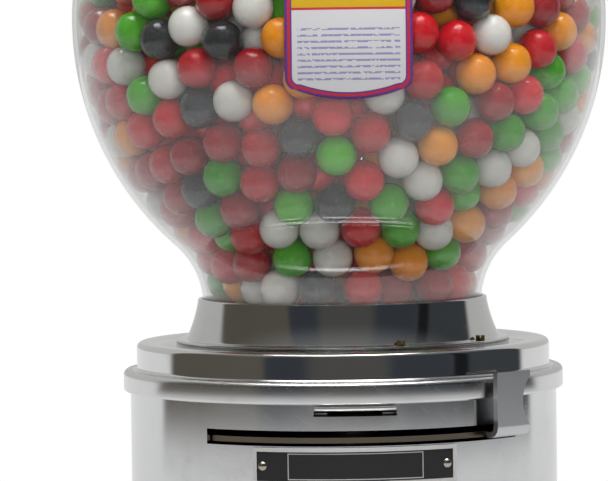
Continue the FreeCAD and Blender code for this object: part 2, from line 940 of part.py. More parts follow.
def ball_centres(stages=8, rounds=40, seed=7):
    # Balls thrown behind the glass and onto the top bed, then pushed apart; the crowded ones come out.
    # Heights are over the hopper's floor.
    chance = random.Random(seed)
    diameter = s.ball_radius.value * 2
    span = diameter + s.ball_gap.value
    low = s.ball_radius.value + s.ball_gap.value
    top_bed = (core_top - floor_top).value + low
    high = top_bed + s.ball_radius.value
    slices = [low + (high - low) * (n + 0.5) / rounds for n in range(rounds)]
    skin = []
    for height in slices:
        slope = wall_limit(height + 0.5, ball_depth.value) - wall_limit(height - 0.5, ball_depth.value)
        girth = 2 * math.pi * wall_limit(height, ball_depth.value)
        skin.append(girth * math.hypot(1, slope) * (high - low) / rounds)
    bed = wall_limit(top_bed, ball_depth.value) - s.ball_layer.value
    each = span**2 * math.sqrt(3) / 2
    spots = []
    for height in chance.choices(slices, skin, k=int(sum(skin) / each)):
        angle = chance.uniform(0, 2 * math.pi)
        reach = wall_limit(height, ball_depth.value) - chance.uniform(0, s.ball_layer.value)
        spots.append([reach * math.cos(angle), reach * math.sin(angle), height])
    for n in range(int(math.pi * bed**2 / each)):
        angle = chance.uniform(0, 2 * math.pi)
        reach = bed * math.sqrt(chance.random())
        spots.append([reach * math.cos(angle), reach * math.sin(angle), top_bed])
    for stage in range(stages):
        sink = s.ball_gap.value * (1 - stage / stages)
        for _ in range(rounds):
            spots = [settle(spot, low, top_bed, sink) for spot in spots]
            push_apart(spots, span)
        spots = [settle(spot, low, top_bed, 0) for spot in spots]
        spots = without_crowded(spots, diameter - s.ball_radius.value / 4 * (1 - stage / (stages - 1)))
    return without_crowded(spots, diameter + s.ball_gap.value / 4)


def gumballs():
    # Colours are dealt from the bottom up, a shuffled deck at a time, so that they lie well mixed.
    chance = random.Random(3)
    heaps = {colour: [] for colour in BALL_DECK}
    deck = []
    for spot in sorted(ball_centres(), key=lambda spot: spot[2]):
        if not deck:
            deck = [colour for colour, count in BALL_DECK.items() for _ in range(round(count))]
            chance.shuffle(deck)
        middle = FreeCAD.Vector(*spot) + FreeCAD.Vector(0, 0, floor_top.value)
        heaps[deck.pop()].append(Part.makeSphere(s.ball_radius.value, middle))
    for colour, balls in heaps.items():
        heap = doc.addObject("Part::Feature", colour + "_gumballs")
        heap.Shape = Part.makeCompound(balls)
        keep(heap, colour + "_gumballs")
    print("gumballs", {colour: len(balls) for colour, balls in heaps.items()})


# Lid and lock


def lid():
    skirt_inner = s.mouth_radius + s.fit_gap * 2
    skirt = skirt_inner + s.lid_wall
    skirt_bottom = mouth_top - s.lid_skirt
    shoulder = lid_seat + s.lid_wall
    crown = lid_seat + s.lid_rise
    hole = s.lock_radius + s.hole_gap
    seat_inner = s.mouth_radius - s.lid_seat_width
    keep(turned("lid", [
        (skirt_inner, skirt_bottom),
        (skirt, skirt_bottom),
        (skirt, shoulder - s.lid_corner / 2),
        (skirt - s.lid_corner / 2, shoulder, s.lid_corner / 2),
        (s.lid_flat_radius, crown, s.lid_dome),
        (hole, crown),
        (hole, crown - s.lid_wall),
        (s.lid_flat_radius, crown - s.lid_wall),
        (seat_inner, shoulder - s.lid_wall / 2, -(s.lid_dome - s.lid_wall)),
        (seat_inner, lid_seat),
        (skirt_inner, lid_seat),
    ]), "lid")


def lid_seal():
    inner = s.mouth_radius - s.lid_seat_width
    keep(tube("lid_seal", inner, s.mouth_radius, s.lid_seal_thick, mouth_top), "lid_seal")


def lock_barrel():
    crown = lid_seat + s.lid_rise
    bore = s.lock_plug_radius + s.bore_gap
    keep(turned("lock_barrel", [
        (bore, crown - s.lock_depth),
        (s.lock_radius, crown - s.lock_depth),
        (s.lock_radius, crown),
        (s.lock_flange_radius, crown),
        (s.lock_flange_radius, crown + s.lock_flange_thick / 3),
        (s.lock_radius, crown + s.lock_flange_thick, s.lock_flange_thick * 2),
        (bore, crown + s.lock_flange_thick),
    ]), "lock_barrel")


def lock_nut():
    under = lid_seat + s.lid_rise - s.lid_wall
    prism = primitive("Prism", "nut_prism", {"Circumradius": s.lock_nut_radius, "Height": s.lock_nut_thick},
                      z=under - s.lock_nut_thick)
    prism.Polygon = 6
    hole = cylinder("nut_hole", s.lock_radius + s.hole_gap, s.lock_nut_thick, z=under - s.lock_nut_thick)
    keep(cut("lock_nut", prism, hole), "lock_nut")


def lock_plug():
    crown = lid_seat + s.lid_rise
    top = crown + s.lock_flange_thick + s.lock_plug_proud
    low = crown - s.lock_depth
    barrel = cylinder("plug_barrel", s.lock_plug_radius, top - low, z=low)
    socket = cylinder("plug_socket", s.rod_radius + s.fit_gap, s.lock_depth, z=low)
    keyway = box("plug_keyway", s.key_length, s.key_width, s.key_depth,
                 x=-(s.key_length / 2), y=-(s.key_width / 2), z=top - s.key_depth + s.fit_gap)
    keep(cut("lock_plug", barrel, socket, keyway), "lock_plug")


# Hopper floor, dispensing wheel and deck


def hopper_floor():
    disc = cylinder("floor_disc", floor_radius, s.floor_thick, z=cover_top)
    feed = circle_of("floor_feed", s.feed_radius, s.floor_thick, cover_top, s.feed_circle, [s.lever_swing])
    rod = cylinder("floor_rod", s.rod_radius + s.fit_gap, s.floor_thick, z=cover_top)
    keep(cut("hopper_floor", disc, rod, *feed), "hopper_floor")


def dispensing_wheel():
    # A turned wheel, hollow below, with the ball's pocket and the lug that the coin pushes.
    rim_inner = wheel_radius - s.wheel_rim
    web = wheel_top - s.wheel_web
    disc = turned("wheel_disc", [
        (rod_bore, wheel_bottom),
        (s.wheel_hub_radius, wheel_bottom),
        (s.wheel_hub_radius, web),
        (rim_inner, web),
        (rim_inner, wheel_bottom),
        (wheel_radius, wheel_bottom),
        (wheel_radius, wheel_top),
        (rod_bore, wheel_top),
    ])
    at = [s.lever_swing]
    wall = s.pocket_radius + s.pocket_wall
    sleeve = circle_of("pocket_sleeve", wall, wheel_height, wheel_bottom, s.feed_circle, at)
    pocket = circle_of("pocket_bore", s.pocket_radius, wheel_height, wheel_bottom, s.feed_circle, at)
    tip = coin_circle + s.lug_length / 2
    root_radius = wheel_radius - s.wheel_rim / 2
    lug_bottom = carrier_top + s.fit_gap
    half = s.lug_width / 2
    arm = box("lug_arm", s.lug_width, tip - root_radius, s.lug_thick, x=-half, y=-tip, z=wheel_bottom)
    finger = box("lug_finger", s.lug_width, s.lug_length, wheel_bottom + s.lug_thick - lug_bottom,
                 x=-half, y=-tip, z=lug_bottom)
    lug = place(fuse("drive_lug", arm, finger), yaw=-s.lug_lead)
    keep(cut("dispensing_wheel", fuse("wheel_blank", disc, lug, *sleeve), *pocket), "dispensing_wheel")


def post_azimuths():
    return even_azimuths(s.post_count, s.post_first)


def deck_plate():
    disc = cylinder("deck_disc", deck_radius, s.deck_thick, z=deck_bottom)
    drop = circle_of("deck_drop", s.feed_radius, s.deck_thick, deck_bottom, s.feed_circle, [as_size(0)])
    rod = cylinder("deck_rod", s.rod_radius + s.fit_gap, s.deck_thick, z=deck_bottom)
    holes = circle_of("deck_hole", s.deck_screw_radius + s.hole_gap, s.deck_thick, deck_bottom,
                      post_circle, post_azimuths())
    keep(cut("deck_plate", disc, rod, *drop, *holes), "deck_plate")


def deck_posts():
    height = cover_under - deck_top
    bars = circle_of("post_bar", s.post_radius, height, deck_top, post_circle, post_azimuths())
    depth, tap = s.deck_screw_length - s.deck_thick + s.fit_gap, s.deck_screw_radius + s.hole_gap
    taps = circle_of("post_tap", tap, depth, deck_top, post_circle, post_azimuths())
    posts = [cut(f"post_{n}", *pair) for n, pair in enumerate(zip(bars, taps))]
    keep(group("deck_posts", posts), "deck_posts")


def deck_screws():
    azimuths = post_azimuths()
    heads = circle_of("deck_head", s.deck_screw_head, s.deck_screw_head_height,
                      deck_bottom - s.deck_screw_head_height, post_circle, azimuths)
    shanks = circle_of("deck_shank", s.deck_screw_radius, s.deck_screw_length, deck_bottom,
                       post_circle, azimuths)
    screws = [fuse(f"deck_screw_{n}", *pair) for n, pair in enumerate(zip(heads, shanks))]
    keep(group("deck_screws", screws), "deck_screws")


# Coin path


def coin_rail():
    # A shelf for the coin, with a flange turned down against the drum.
    outer = shell_inner - s.fit_gap
    shelf = band("rail_shelf", rail_inner, outer, s.rail_thick, rail_bottom, s.rail_first, s.rail_last)
    flange = band("rail_flange_band", outer - s.rail_thick, outer, s.rail_flange, rail_bottom - s.rail_flange,
                  s.rail_first, s.rail_last)
    keep(fuse("coin_rail", shelf, flange), "coin_rail")


def coin_carrier():
    # A thin fan with a notch for one coin and an upturned tab that brings the wheel back.
    thick = s.carrier_thick
    fan = wedge("carrier_fan", carrier_radius, thick, carrier_bottom, s.carrier_first, s.carrier_last)
    ring = cylinder("carrier_ring_disc", s.carrier_ring, thick, z=carrier_bottom)
    lead = -s.return_tab_lead
    tab = box("carrier_tab", thick, s.lug_length, s.carrier_tab_height + thick, yaw=lead,
              x=coin_circle * sine(lead), y=-(coin_circle * cosine(lead)), z=carrier_bottom)
    pocket = s.coin_radius + s.coin_play
    notch = cylinder("carrier_notch", pocket, thick, y=-coin_circle, z=carrier_bottom)
    mouth = box("carrier_mouth", pocket * 2, carrier_radius - coin_circle, thick,
                x=-pocket, y=-carrier_radius, z=carrier_bottom)
    bore = cylinder("carrier_bore", s.hub_radius + s.bore_gap, thick, z=carrier_bottom)
    keep(cut("coin_carrier", fuse("carrier_blank", fan, ring, tab), notch, mouth, bore), "coin_carrier")


# Lever and return spring


def lever():
    # Bent sheet: a fan behind the slot, and an arm turned up outside the drum into a finger tab.
    body = new_body("lever")
    thick, reach, bend = s.lever_thick, tab_reach, s.tab_bend
    section = new_sketch(body, "lever_section", "YZ_Plane")
    draw(section, [
        (-s.hub_radius, lever_bottom),
        (-s.hub_radius, lever_top),
        (bend - reach, lever_top),
        (thick - reach, lever_bottom + bend, -(bend - thick)),
        (thick - reach, lever_bottom + s.tab_height),
        (-reach, lever_bottom + s.tab_height),
        (-reach, lever_bottom + bend),
        (bend - reach, lever_bottom, bend),
    ])
    sheet_pad = body.newObject("PartDesign::Pad", "lever_sheet")
    sheet_pad.Profile = section
    sheet_pad.Midplane = True
    sheet_pad.setExpression("Length", s.tab_width.formula)
    disc = draw_circle(new_sketch(body, "lever_ring_circle", "XY_Plane", lever_bottom), s.lever_ring, 0, 0)
    ring_pad = body.newObject("PartDesign::Pad", "lever_ring_pad")
    ring_pad.Profile = disc
    ring_pad.setExpression("Length", thick.formula)
    place(body, yaw=s.lever_rest)

    spare = (s.tab_width - s.arm_width) / 2
    length = reach - bend - s.tab_neck - s.arm_root
    tools = []
    for side in (-1, 1):
        left = -(s.tab_width / 2) if side < 0 else s.tab_width / 2 - spare
        tools.append(box(f"arm_side_{side + 1}", spare, length, thick,
                         x=left, y=-(s.arm_root + length), z=lever_bottom))
    tools.append(cylinder("tab_scallop", s.scallop_radius, bend * 2,
                          x=s.tab_width / 2 + s.scallop_radius - s.scallop_depth, y=bend - reach,
                          z=lever_bottom + s.scallop_height, roll=90))
    arm = cut("lever_arm", body, place(fuse("arm_cutters", *tools), yaw=s.lever_rest))
    fan = wedge("lever_fan", shell_inner - s.fan_gap, thick, lever_bottom, s.fan_first, s.fan_last)
    bore = cylinder("lever_bore", s.hub_radius + s.bore_gap, thick, z=lever_bottom)
    window = cylinder("lever_coin_window", s.coin_window, thick, y=-coin_circle, z=lever_bottom)
    keep(cut("lever", fuse("lever_blank", arm, fan), bore, window), "lever")


def lever_hub():
    keep(tube("lever_hub", rod_bore, s.hub_radius, hub_top - hub_bottom, hub_bottom), "lever_hub")


def thrust_collar():
    low = thrust_top - s.thrust_height
    keep(tube("thrust_collar", rod_bore, s.thrust_radius, s.thrust_height, low), "thrust_collar")


def biarc(start, start_way, end, end_way):
    # Two arcs that join two points with the given directions.
    across = end - start
    both = start_way + end_way
    turn = 2 * (1 - start_way.dot(end_way))
    along = across.dot(both)
    reach = (-along + math.sqrt(along**2 + turn * across.dot(across))) / turn
    joint = (start + end + (start_way - end_way) * reach) * 0.5
    arcs = []
    runs = (start, start + start_way * reach, joint), (joint, end - end_way * reach, end)
    for first, corner, last in runs:
        middle = (first + last) * 0.5
        half, rise = first.distanceToPoint(middle), corner.distanceToPoint(middle)
        bulge = reach**2 / rise - half * reach / rise
        arcs.append(Part.Arc(first, corner + (middle - corner) * (bulge / rise), last).toShape())
    return arcs


def return_spring():
    radius, wire, pitch = s.spring_radius.value, s.spring_wire.value, s.spring_pitch.value
    turns, leg, steps = count_of(s.spring_turns), s.spring_leg.value, 40
    low = lever_bottom.value - s.run_gap.value - wire / 2 - turns * pitch

    def at(turn):
        angle = 2 * math.pi * turn
        return FreeCAD.Vector(radius * math.cos(angle), radius * math.sin(angle), low + turn * pitch)

    def way(turn):
        angle = 2 * math.pi * turn
        run = FreeCAD.Vector(-math.sin(angle), math.cos(angle), pitch / (2 * math.pi * radius))
        return run.normalize()

    quarters = [n / 4 for n in range(4 * turns + 1)]
    edges = [Part.LineSegment(at(0) - way(0) * leg, at(0)).toShape()]
    for first, last in zip(quarters, quarters[1:]):
        edges += biarc(at(first), way(first), at(last), way(last))
    edges.append(Part.LineSegment(at(turns), at(turns) + way(turns) * leg).toShape())
    path = Part.Wire(edges)
    ring = Part.Wire(Part.Circle(at(0) - way(0) * leg, way(0), wire / 2).toShape())
    pipe = Part.BRepOffsetAPI.MakePipeShell(path)
    pipe.add(ring)
    pipe.build()
    pipe.makeSolid()
    coil = doc.addObject("Part::Feature", "return_spring")
    coil.Shape = pipe.shape()
    keep(coil, "return_spring")

    points = path.discretize(Number=turns * steps)
    apart = [a.distanceToPoint(b) - wire for n, a in enumerate(points) for b in points[n + steps // 2:]]
    print("return spring: least gap to itself", round(min(apart), 3))
    length = path.Length * math.pi * wire**2 / 4
    print("return spring: volume against section times length", round(coil.Shape.Volume / length, 4))


# Chute and outlet


def chute():
    # A bent tube from under the wheel's drop hole to the window in the drum.
    body = new_body("chute")
    mouth = lever_bottom - s.chute_drop
    corner = mouth - s.chute_fall
    exit_y = s.shell_radius
    slope = slope_angle(corner - outlet_middle, exit_y - s.feed_circle)
    reach = s.chute_bend * tangent((as_size(90) - slope) / 2)
    bend_y = s.feed_circle + reach * cosine(slope)
    path = draw(new_sketch(body, "chute_path", "YZ_Plane"), [
        (-s.feed_circle, mouth),
        (-s.feed_circle, corner + reach),
        (-bend_y, corner - reach * sine(slope), -s.chute_bend),
        (-exit_y, outlet_middle),
    ], closed=False)
    for kind, name, radius in (("AdditivePipe", "chute_outside", s.chute_radius),
                               ("SubtractivePipe", "chute_bore", s.chute_radius - s.chute_wall)):
        ring = draw_circle(new_sketch(body, name + "_ring", "XY_Plane", mouth), radius, 0, -s.feed_circle)
        pipe = body.newObject("PartDesign::" + kind, name)
        pipe.Profile = ring
        pipe.Spine = (path, ["Edge1", "Edge2", "Edge3"])
    room = cylinder("chute_room", shell_inner - s.fit_gap, mouth, z=0)
    keep(overlap_of("chute", body, room), "chute")


def rounded_block(name, width, height, corner, depth, middle):
    # A block with rounded corners seen from the front, from the axis outward.
    body = new_body(name)
    half, low, high = width / 2, middle - height / 2, middle + height / 2
    sketch = draw(new_sketch(body, name + "_face", "XZ_Plane"), [
        (corner - half, low, corner),
        (half - corner, low),
        (half, low + corner, corner),
        (half, high - corner),
        (half - corner, high, corner),
        (corner - half, high),
        (-half, high - corner, corner),
        (-half, low + corner),
    ])
    pad = body.newObject("PartDesign::Pad", name + "_pad")
    pad.Profile = sketch
    pad.setExpression("Length", as_size(depth).formula)
    return body


window_top = outlet_middle + s.window_height / 2
pin_y = outlet_front - s.pin_setback
pin_z = window_top - s.knuckle_radius - s.run_gap
pin_length = s.window_width + s.pin_radius * 4


def outlet_frame():
    block = rounded_block("outlet_block", s.outlet_width, s.outlet_height, s.outlet_round,
                          outlet_front, outlet_middle)
    opening = rounded_block("outlet_opening", s.window_width, s.window_height, s.window_round,
                            outlet_front, outlet_middle)
    drum = cylinder("outlet_drum", s.shell_radius, s.shell_height, z=ledge)
    hole = cross_bar("outlet_pin_hole", s.pin_radius + s.bore_gap, pin_length)
    keep(cut("outlet_frame", block, opening, drum, hole), "outlet_frame")


def cross_bar(name, radius, length):
    # A bar along the flap's hinge line.
    return cylinder(name, radius, length, x=-(length / 2), y=-pin_y, z=pin_z, pitch=90)


def flap_pin():
    keep(cross_bar("flap_pin", s.pin_radius, pin_length), "flap_pin")


def outlet_flap():
    # A leaf that fills the window, hung on the pin by its knuckle, with a finger lip along the foot.
    body = new_body("flap")
    half = s.window_width / 2 - s.run_gap
    corner = s.window_round - s.run_gap
    low = outlet_middle - s.window_height / 2 + s.run_gap
    sketch = draw(new_sketch(body, "flap_face", "XZ_Plane", pin_y - s.flap_thick / 2), [
        (corner - half, low, corner),
        (half - corner, low),
        (half, low + corner, corner),
        (half, pin_z),
        (-half, pin_z),
        (-half, low + corner),
    ])
    leaf = body.newObject("PartDesign::Pad", "flap_leaf")
    leaf.Profile = sketch
    leaf.setExpression("Length", s.flap_thick.formula)
    narrow = (half - corner) * 2
    lip = box("flap_lip_bar", narrow, s.flap_lip, s.flap_thick,
              x=corner - half, y=-(pin_y + s.flap_lip), z=low)
    knuckle = cross_bar("flap_knuckle", s.knuckle_radius, narrow)
    bore = cross_bar("flap_bore", s.pin_radius + s.bore_gap, pin_length)
    keep(cut("outlet_flap", fuse("flap_blank", body, lip, knuckle), bore), "outlet_flap")


for make in (
    base_ring, base_plate, base_screws, rubber_feet, tie_rod, rod_boss, coin_box,
    body_shell, top_cover, coin_slot_lip, nameplate, nameplate_rivets,
    globe_collar, collar_screws, globe_seal, glass_globe, gumball_core, gumballs,
    lid, lid_seal, lock_barrel, lock_nut, lock_plug,
    hopper_floor, dispensing_wheel, deck_plate, deck_posts, deck_screws,
    coin_rail, coin_carrier, lever, lever_hub, thrust_collar, return_spring,
    chute, outlet_frame, flap_pin, outlet_flap,
):
    make()

doc.recompute()
failed = [item.Name for item in doc.Objects if {"Invalid", "Error"} & set(item.State)]
failed += [item.Label for item in pieces if item.Shape.isNull() or not item.Shape.isValid()]
if failed:
    raise RuntimeError("not built: " + ", ".join(failed))
os.makedirs("parts", exist_ok=True)
for item in pieces:
    item.Shape.exportStep(f"parts/{item.Label}.step")
print(len(pieces), "pieces written")
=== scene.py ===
import math
import bpy
import numpy as np
from mathutils import Matrix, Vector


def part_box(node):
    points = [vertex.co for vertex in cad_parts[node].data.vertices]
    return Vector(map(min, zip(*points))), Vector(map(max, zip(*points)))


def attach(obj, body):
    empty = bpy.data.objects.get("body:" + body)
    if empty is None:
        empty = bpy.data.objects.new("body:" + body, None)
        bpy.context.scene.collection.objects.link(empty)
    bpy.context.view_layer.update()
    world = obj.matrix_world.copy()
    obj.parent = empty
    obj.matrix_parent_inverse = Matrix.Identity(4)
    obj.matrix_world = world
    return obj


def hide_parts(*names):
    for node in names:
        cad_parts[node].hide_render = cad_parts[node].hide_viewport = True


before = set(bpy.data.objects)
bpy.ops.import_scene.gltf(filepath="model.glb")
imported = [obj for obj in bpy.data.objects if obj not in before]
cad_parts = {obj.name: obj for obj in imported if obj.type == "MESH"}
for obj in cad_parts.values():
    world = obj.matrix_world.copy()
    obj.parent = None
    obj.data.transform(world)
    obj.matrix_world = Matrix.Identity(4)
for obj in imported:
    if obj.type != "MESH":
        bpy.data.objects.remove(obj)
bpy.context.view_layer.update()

scene = bpy.context.scene
scene.view_settings.view_transform = "Standard"
print("frame loaded", len(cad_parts), "nodes")


# Shader maths: a wire is one socket, and sums on wires add Math nodes

class Wire:
    def __init__(self, tree, socket):
        self.tree = tree
        self.socket = socket

    def sum(self, operation, first, second=0.0):
        node = self.tree.nodes.new("ShaderNodeMath")
        node.operation = operation
        for place, value in enumerate((first, second)):
            if isinstance(value, Wire):
                self.tree.links.new(value.socket, node.inputs[place])
            else:
                node.inputs[place].default_value = value
        return Wire(self.tree, node.outputs[0])

    def __add__(self, other): return self.sum("ADD", self, other)
    def __radd__(self, other): return self.sum("ADD", other, self)
    def __sub__(self, other): return self.sum("SUBTRACT", self, other)
    def __rsub__(self, other): return self.sum("SUBTRACT", other, self)
    def __mul__(self, other): return self.sum("MULTIPLY", self, other)
    def __rmul__(self, other): return self.sum("MULTIPLY", other, self)
    def __truediv__(self, other): return self.sum("DIVIDE", self, other)
    def __pow__(self, other): return self.sum("POWER", self, other)
    def __gt__(self, other): return self.sum("GREATER_THAN", self, other)
    def __lt__(self, other): return self.sum("LESS_THAN", self, other)
    def __abs__(self): return self.sum("ABSOLUTE", self)


class Finish:  # one node tree, of a material or of the world
    def __init__(self, owner):
        owner.use_nodes = True
        self.owner = owner
        self.tree = owner.node_tree
        self.tree.nodes.clear()

    def node(self, kind, settings=None, inputs=None, out=0):
        made = self.tree.nodes.new("ShaderNode" + kind)
        for key, value in (settings or {}).items():
            if key == "stops":
                ramp = made.color_ramp
                while len(ramp.elements) < len(value):
                    ramp.elements.new(1)
                for element, (place, colour) in zip(ramp.elements, value):
                    element.position = place
                    element.color = (*colour, 1)
            elif key == "interpolation":
                made.color_ramp.interpolation = value
            else:
                setattr(made, key, value)
        for key, value in (inputs or {}).items():
            if isinstance(value, Wire):
                self.tree.links.new(value.socket, made.inputs[key])
            else:
                made.inputs[key].default_value = value
        return Wire(self.tree, made.outputs[out])

    def others(self, wire, names):  # more outputs of the node that a wire comes from
        return [Wire(self.tree, wire.socket.node.outputs[name]) for name in names]

    def place(self):  # object coordinates, in metres
        return self.node("TexCoord", out="Object")

    def xyz(self, vector):
        return self.others(self.node("SeparateXYZ", inputs={0: vector}), "XYZ")

    def vector(self, x, y, z):
        return self.node("CombineXYZ", inputs={0: x, 1: y, 2: z})

    def reach(self, x, y):  # distance from the upright axis
        return (x * x + y * y + 1e-9) ** 0.5

    def bearing(self, x, y):  # angle round the axis from the front
        return self.node("Math", {"operation": "ARCTAN2"}, {0: x, 1: 0.0 - y})

    def noise(self, vector, size, detail=3.0, rough=0.5):  # size is one lump's width in metres
        inputs = {"Vector": vector, "Scale": 1 / size, "Detail": detail, "Roughness": rough}
        return self.node("TexNoise", inputs=inputs)

    def step(self, value, low, high):  # 0 below low, 1 above high, smooth between
        settings = {"interpolation_type": "SMOOTHSTEP"}
        return self.node("MapRange", settings, {"Value": value, "From Min": low, "From Max": high})

    def blend(self, share, first, second):  # colours, or a colour given as three numbers
        colours = [c if isinstance(c, Wire) else (*c, 1) for c in (first, second)]
        return self.node("Mix", {"data_type": "RGBA"}, {0: share, 6: colours[0], 7: colours[1]}, out=2)

    def mix(self, share, first, second):  # two shaders
        return self.node("MixShader", inputs={0: share, 1: first, 2: second})

    def bump(self, height, depth):  # depth is the height of a full step in metres
        return self.node("Bump", inputs={"Height": height, "Distance": depth, "Strength": 1.0})

    def surface(self, wire):
        kind = "OutputWorld" if isinstance(self.owner, bpy.types.World) else "OutputMaterial"
        end = self.tree.nodes.new("ShaderNode" + kind)
        self.tree.links.new(wire.socket, end.inputs[0])
        return self.owner


def tone(red, green, blue):  # a colour as seen on screen, 0 to 255, as linear light
    return tuple(((c / 255 + 0.055) / 1.055) ** 2.4 if c > 10 else c / 3294 for c in (red, green, blue))


def newFinish(name):
    return Finish(bpy.data.materials.new(name))


# Camera at the photograph's place

camera = {
    "distance": 1.3, "azimuth": -3.0, "height": 0.202, "yaw": 0.621, "pitch": -2.24, "roll": -0.75,
    "focalPixels": 3458, "photoPixels": 608, "sensor": 36.0, "nearest": 0.01,
}


def setCamera(c):
    # The eye stands at a distance and bearing from the machine's axis, and then turns, tilts and rolls.
    eye = bpy.data.cameras.new("photoCamera")
    eye.sensor_fit = "HORIZONTAL"
    eye.sensor_width = c["sensor"]
    eye.lens = c["focalPixels"] / c["photoPixels"] * c["sensor"]
    eye.clip_start = c["nearest"]
    item = bpy.data.objects.new("photoCamera", eye)
    scene.collection.objects.link(item)
    side = math.radians(c["azimuth"])
    turn = Matrix.Rotation(math.radians(c["azimuth"] + c["yaw"]), 4, "Z")
    turn = turn @ Matrix.Rotation(math.radians(90 + c["pitch"]), 4, "X")
    turn = turn @ Matrix.Rotation(math.radians(c["roll"]), 4, "Z")
    spot = (c["distance"] * math.sin(side), -c["distance"] * math.cos(side), c["height"])
    item.matrix_world = Matrix.Translation(spot) @ turn
    scene.camera = item


setCamera(camera)
print("camera set")


# Studio: white behind, a dim room in front, a pale floor and soft lamps

studio = {  # an edge is where a tone starts and where it is full
    "backdrop": (0.58, 0.58, 0.57), "roomEdge": (-0.43, -0.33), "middle": (0.085, 0.083, 0.079),
    "slate": (0.042, 0.049, 0.058), "slateEdge": (0.30, 0.46),
    "left": (0.110, 0.101, 0.083), "leftEdge": (0.70, 0.76),
    "right": (0.05, 0.055, 0.062), "rightEdge": (0.80, 0.90),
    "post": (0.012, 0.013, 0.014), "postStart": (0.86, 0.88), "postEnd": (0.93, 0.95),
    "upper": (0.5, 0.5, 0.5), "upperEdge": (0.45, 0.85), "upperShare": 0.4,
    "overhead": (13.0, 13.0, 13.0), "overheadEdge": (0.90, 0.96), "ambient": 0.17,
    "floorHalf": 6.0, "grain": 0.004, "paper": ((0.80, 0.80, 0.79), (0.84, 0.84, 0.83)),
    "bounce": (0.25, 0.25, 0.25), "tableTone": (0.80, 0.80, 0.80), "tableEdge": (0.72, 1.16),
    "wall": (0.82, 0.82, 0.82), "whiteEdge": (0.3, 0.55),
}


def roomTone(f, w, x, y, behind):
    # What mirrors show, by the sine and cosine of the bearing: backdrop behind, a dim room in front.
    level = f.reach(x, y)
    ahead, side = 0.0 - y / level, x / level
    room = f.blend(f.step(abs(side), *w["slateEdge"]), w["middle"], w["slate"])
    room = f.blend(f.step(0.0 - side, *w["leftEdge"]), room, w["left"])
    room = f.blend(f.step(side, *w["rightEdge"]), room, w["right"])
    room = f.blend(f.step(side, *w["postStart"]) * (1 - f.step(side, *w["postEnd"])), room, w["post"])
    return f.blend(f.step(ahead, *w["roomEdge"]), behind, room)


def rayKinds(f):  # seen directly or through glass, mirrored, and scattered
    names = ("Is Camera Ray", "Is Transmission Ray", "Is Glossy Ray", "Is Diffuse Ray")
    direct, through, glossy, scattered = f.others(f.node("LightPath"), names)
    return direct + through, glossy, scattered


def makeWorld(w):
    # White to the eye, the room's tones and a bright patch overhead to mirrors, a low even light to the rest.
    world = bpy.data.worlds.new("studioRoom")
    scene.world = world
    f = Finish(world)
    x, y, z = f.xyz(f.node("TexCoord", out="Generated"))
    upper = f.step(z, *w["upperEdge"]) * w["upperShare"]
    mirror = f.blend(upper, roomTone(f, w, x, y, w["backdrop"]), w["upper"])
    mirror = f.blend(f.step(z, *w["overheadEdge"]), mirror, w["overhead"])
    seen, glossy, _ = rayKinds(f)
    plain = f.node("Background", inputs={"Color": (1, 1, 1, 1), "Strength": w["ambient"]})
    shiny = f.node("Background", inputs={"Color": mirror, "Strength": 1.0})
    white = f.node("Background", inputs={"Color": (1, 1, 1, 1), "Strength": 1.0})
    f.surface(f.mix(seen, f.mix(glossy, plain, shiny), white))


def makeFloor(w):
    # A square sheet with its middle under the machine; far off the eye sees white, and mirrors a table.
    half = w["floorHalf"]
    points = [(-half, -half, 0), (half, -half, 0), (half, half, 0), (-half, half, 0)]
    mesh = bpy.data.meshes.new("paleFloor")
    mesh.from_pydata(points, [], [(0, 1, 2, 3)])
    floor = bpy.data.objects.new("paleFloor", mesh)
    scene.collection.objects.link(floor)
    f = newFinish("floorPaper")
    spot = f.place()
    x, y, _ = f.xyz(spot)
    far = f.reach(x, y)
    seen, glossy, scattered = rayKinds(f)
    pale = f.blend(f.noise(spot, w["grain"]), *w["paper"])
    paper = f.node("BsdfDiffuse", inputs={"Color": f.blend(scattered, pale, w["bounce"])})
    white = f.node("Emission", inputs={"Color": (1, 1, 1, 1), "Strength": 1.0})
    mirror = f.blend(f.step(far, *w["tableEdge"]), w["tableTone"], roomTone(f, w, x, y, w["wall"]))
    mirrored = f.node("Emission", inputs={"Color": mirror, "Strength": 1.0})
    direct = f.mix(seen * f.step(far, *w["whiteEdge"]), paper, white)
    floor.data.materials.append(f.surface(f.mix(glossy, direct, mirrored)))


lampAim = (0, 0, 0.17)
lamps = {  # place, width, watts; the mirrors show the room and not the lamps
    "topSoftbox": ((0.1, -0.75, 1.35), 0.8, 19.0),
    "leftSoftbox": ((-1.4, -0.5, 0.9), 0.9, 6.0),
    "rightSoftbox": ((1.4, -0.5, 0.9), 0.9, 6.0),
    "frontFill": ((0.0, -1.9, 0.25), 1.0, 16.0),
    "backSoftbox": ((0.3, 1.6, 1.1), 0.9, 11.0),
}


def makeLamps(rows):
    # Each lamp's back axis points away from the aim, and its right axis is level.
    for name, (spot, width, watts) in rows.items():
        lamp = bpy.data.lights.new(name, "AREA")
        lamp.size = width
        lamp.energy = watts
        item = bpy.data.objects.new(name, lamp)
        scene.collection.objects.link(item)
        back = np.array(spot) - lampAim
        back = back / np.linalg.norm(back)
        right = np.cross((0, 0, 1), back)
        right = right / np.linalg.norm(right)
        aim = Matrix(np.column_stack((right, np.cross(back, right), back)).tolist()).to_4x4()
        item.matrix_world = Matrix.Translation(spot) @ aim
        item.visible_glossy = False


makeWorld(studio)
makeFloor(studio)
makeLamps(lamps)
print("studio set")


# Mesh from arrays

def newPiece(name, points, faces, body):
    mesh = bpy.data.meshes.new(name)
    mesh.from_pydata(points.tolist(), [], faces.tolist())
    mesh.polygons.foreach_set("use_smooth", np.full(len(mesh.polygons), True))
    item = bpy.data.objects.new(name, mesh)
    scene.collection.objects.link(item)
    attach(item, body)
    return item


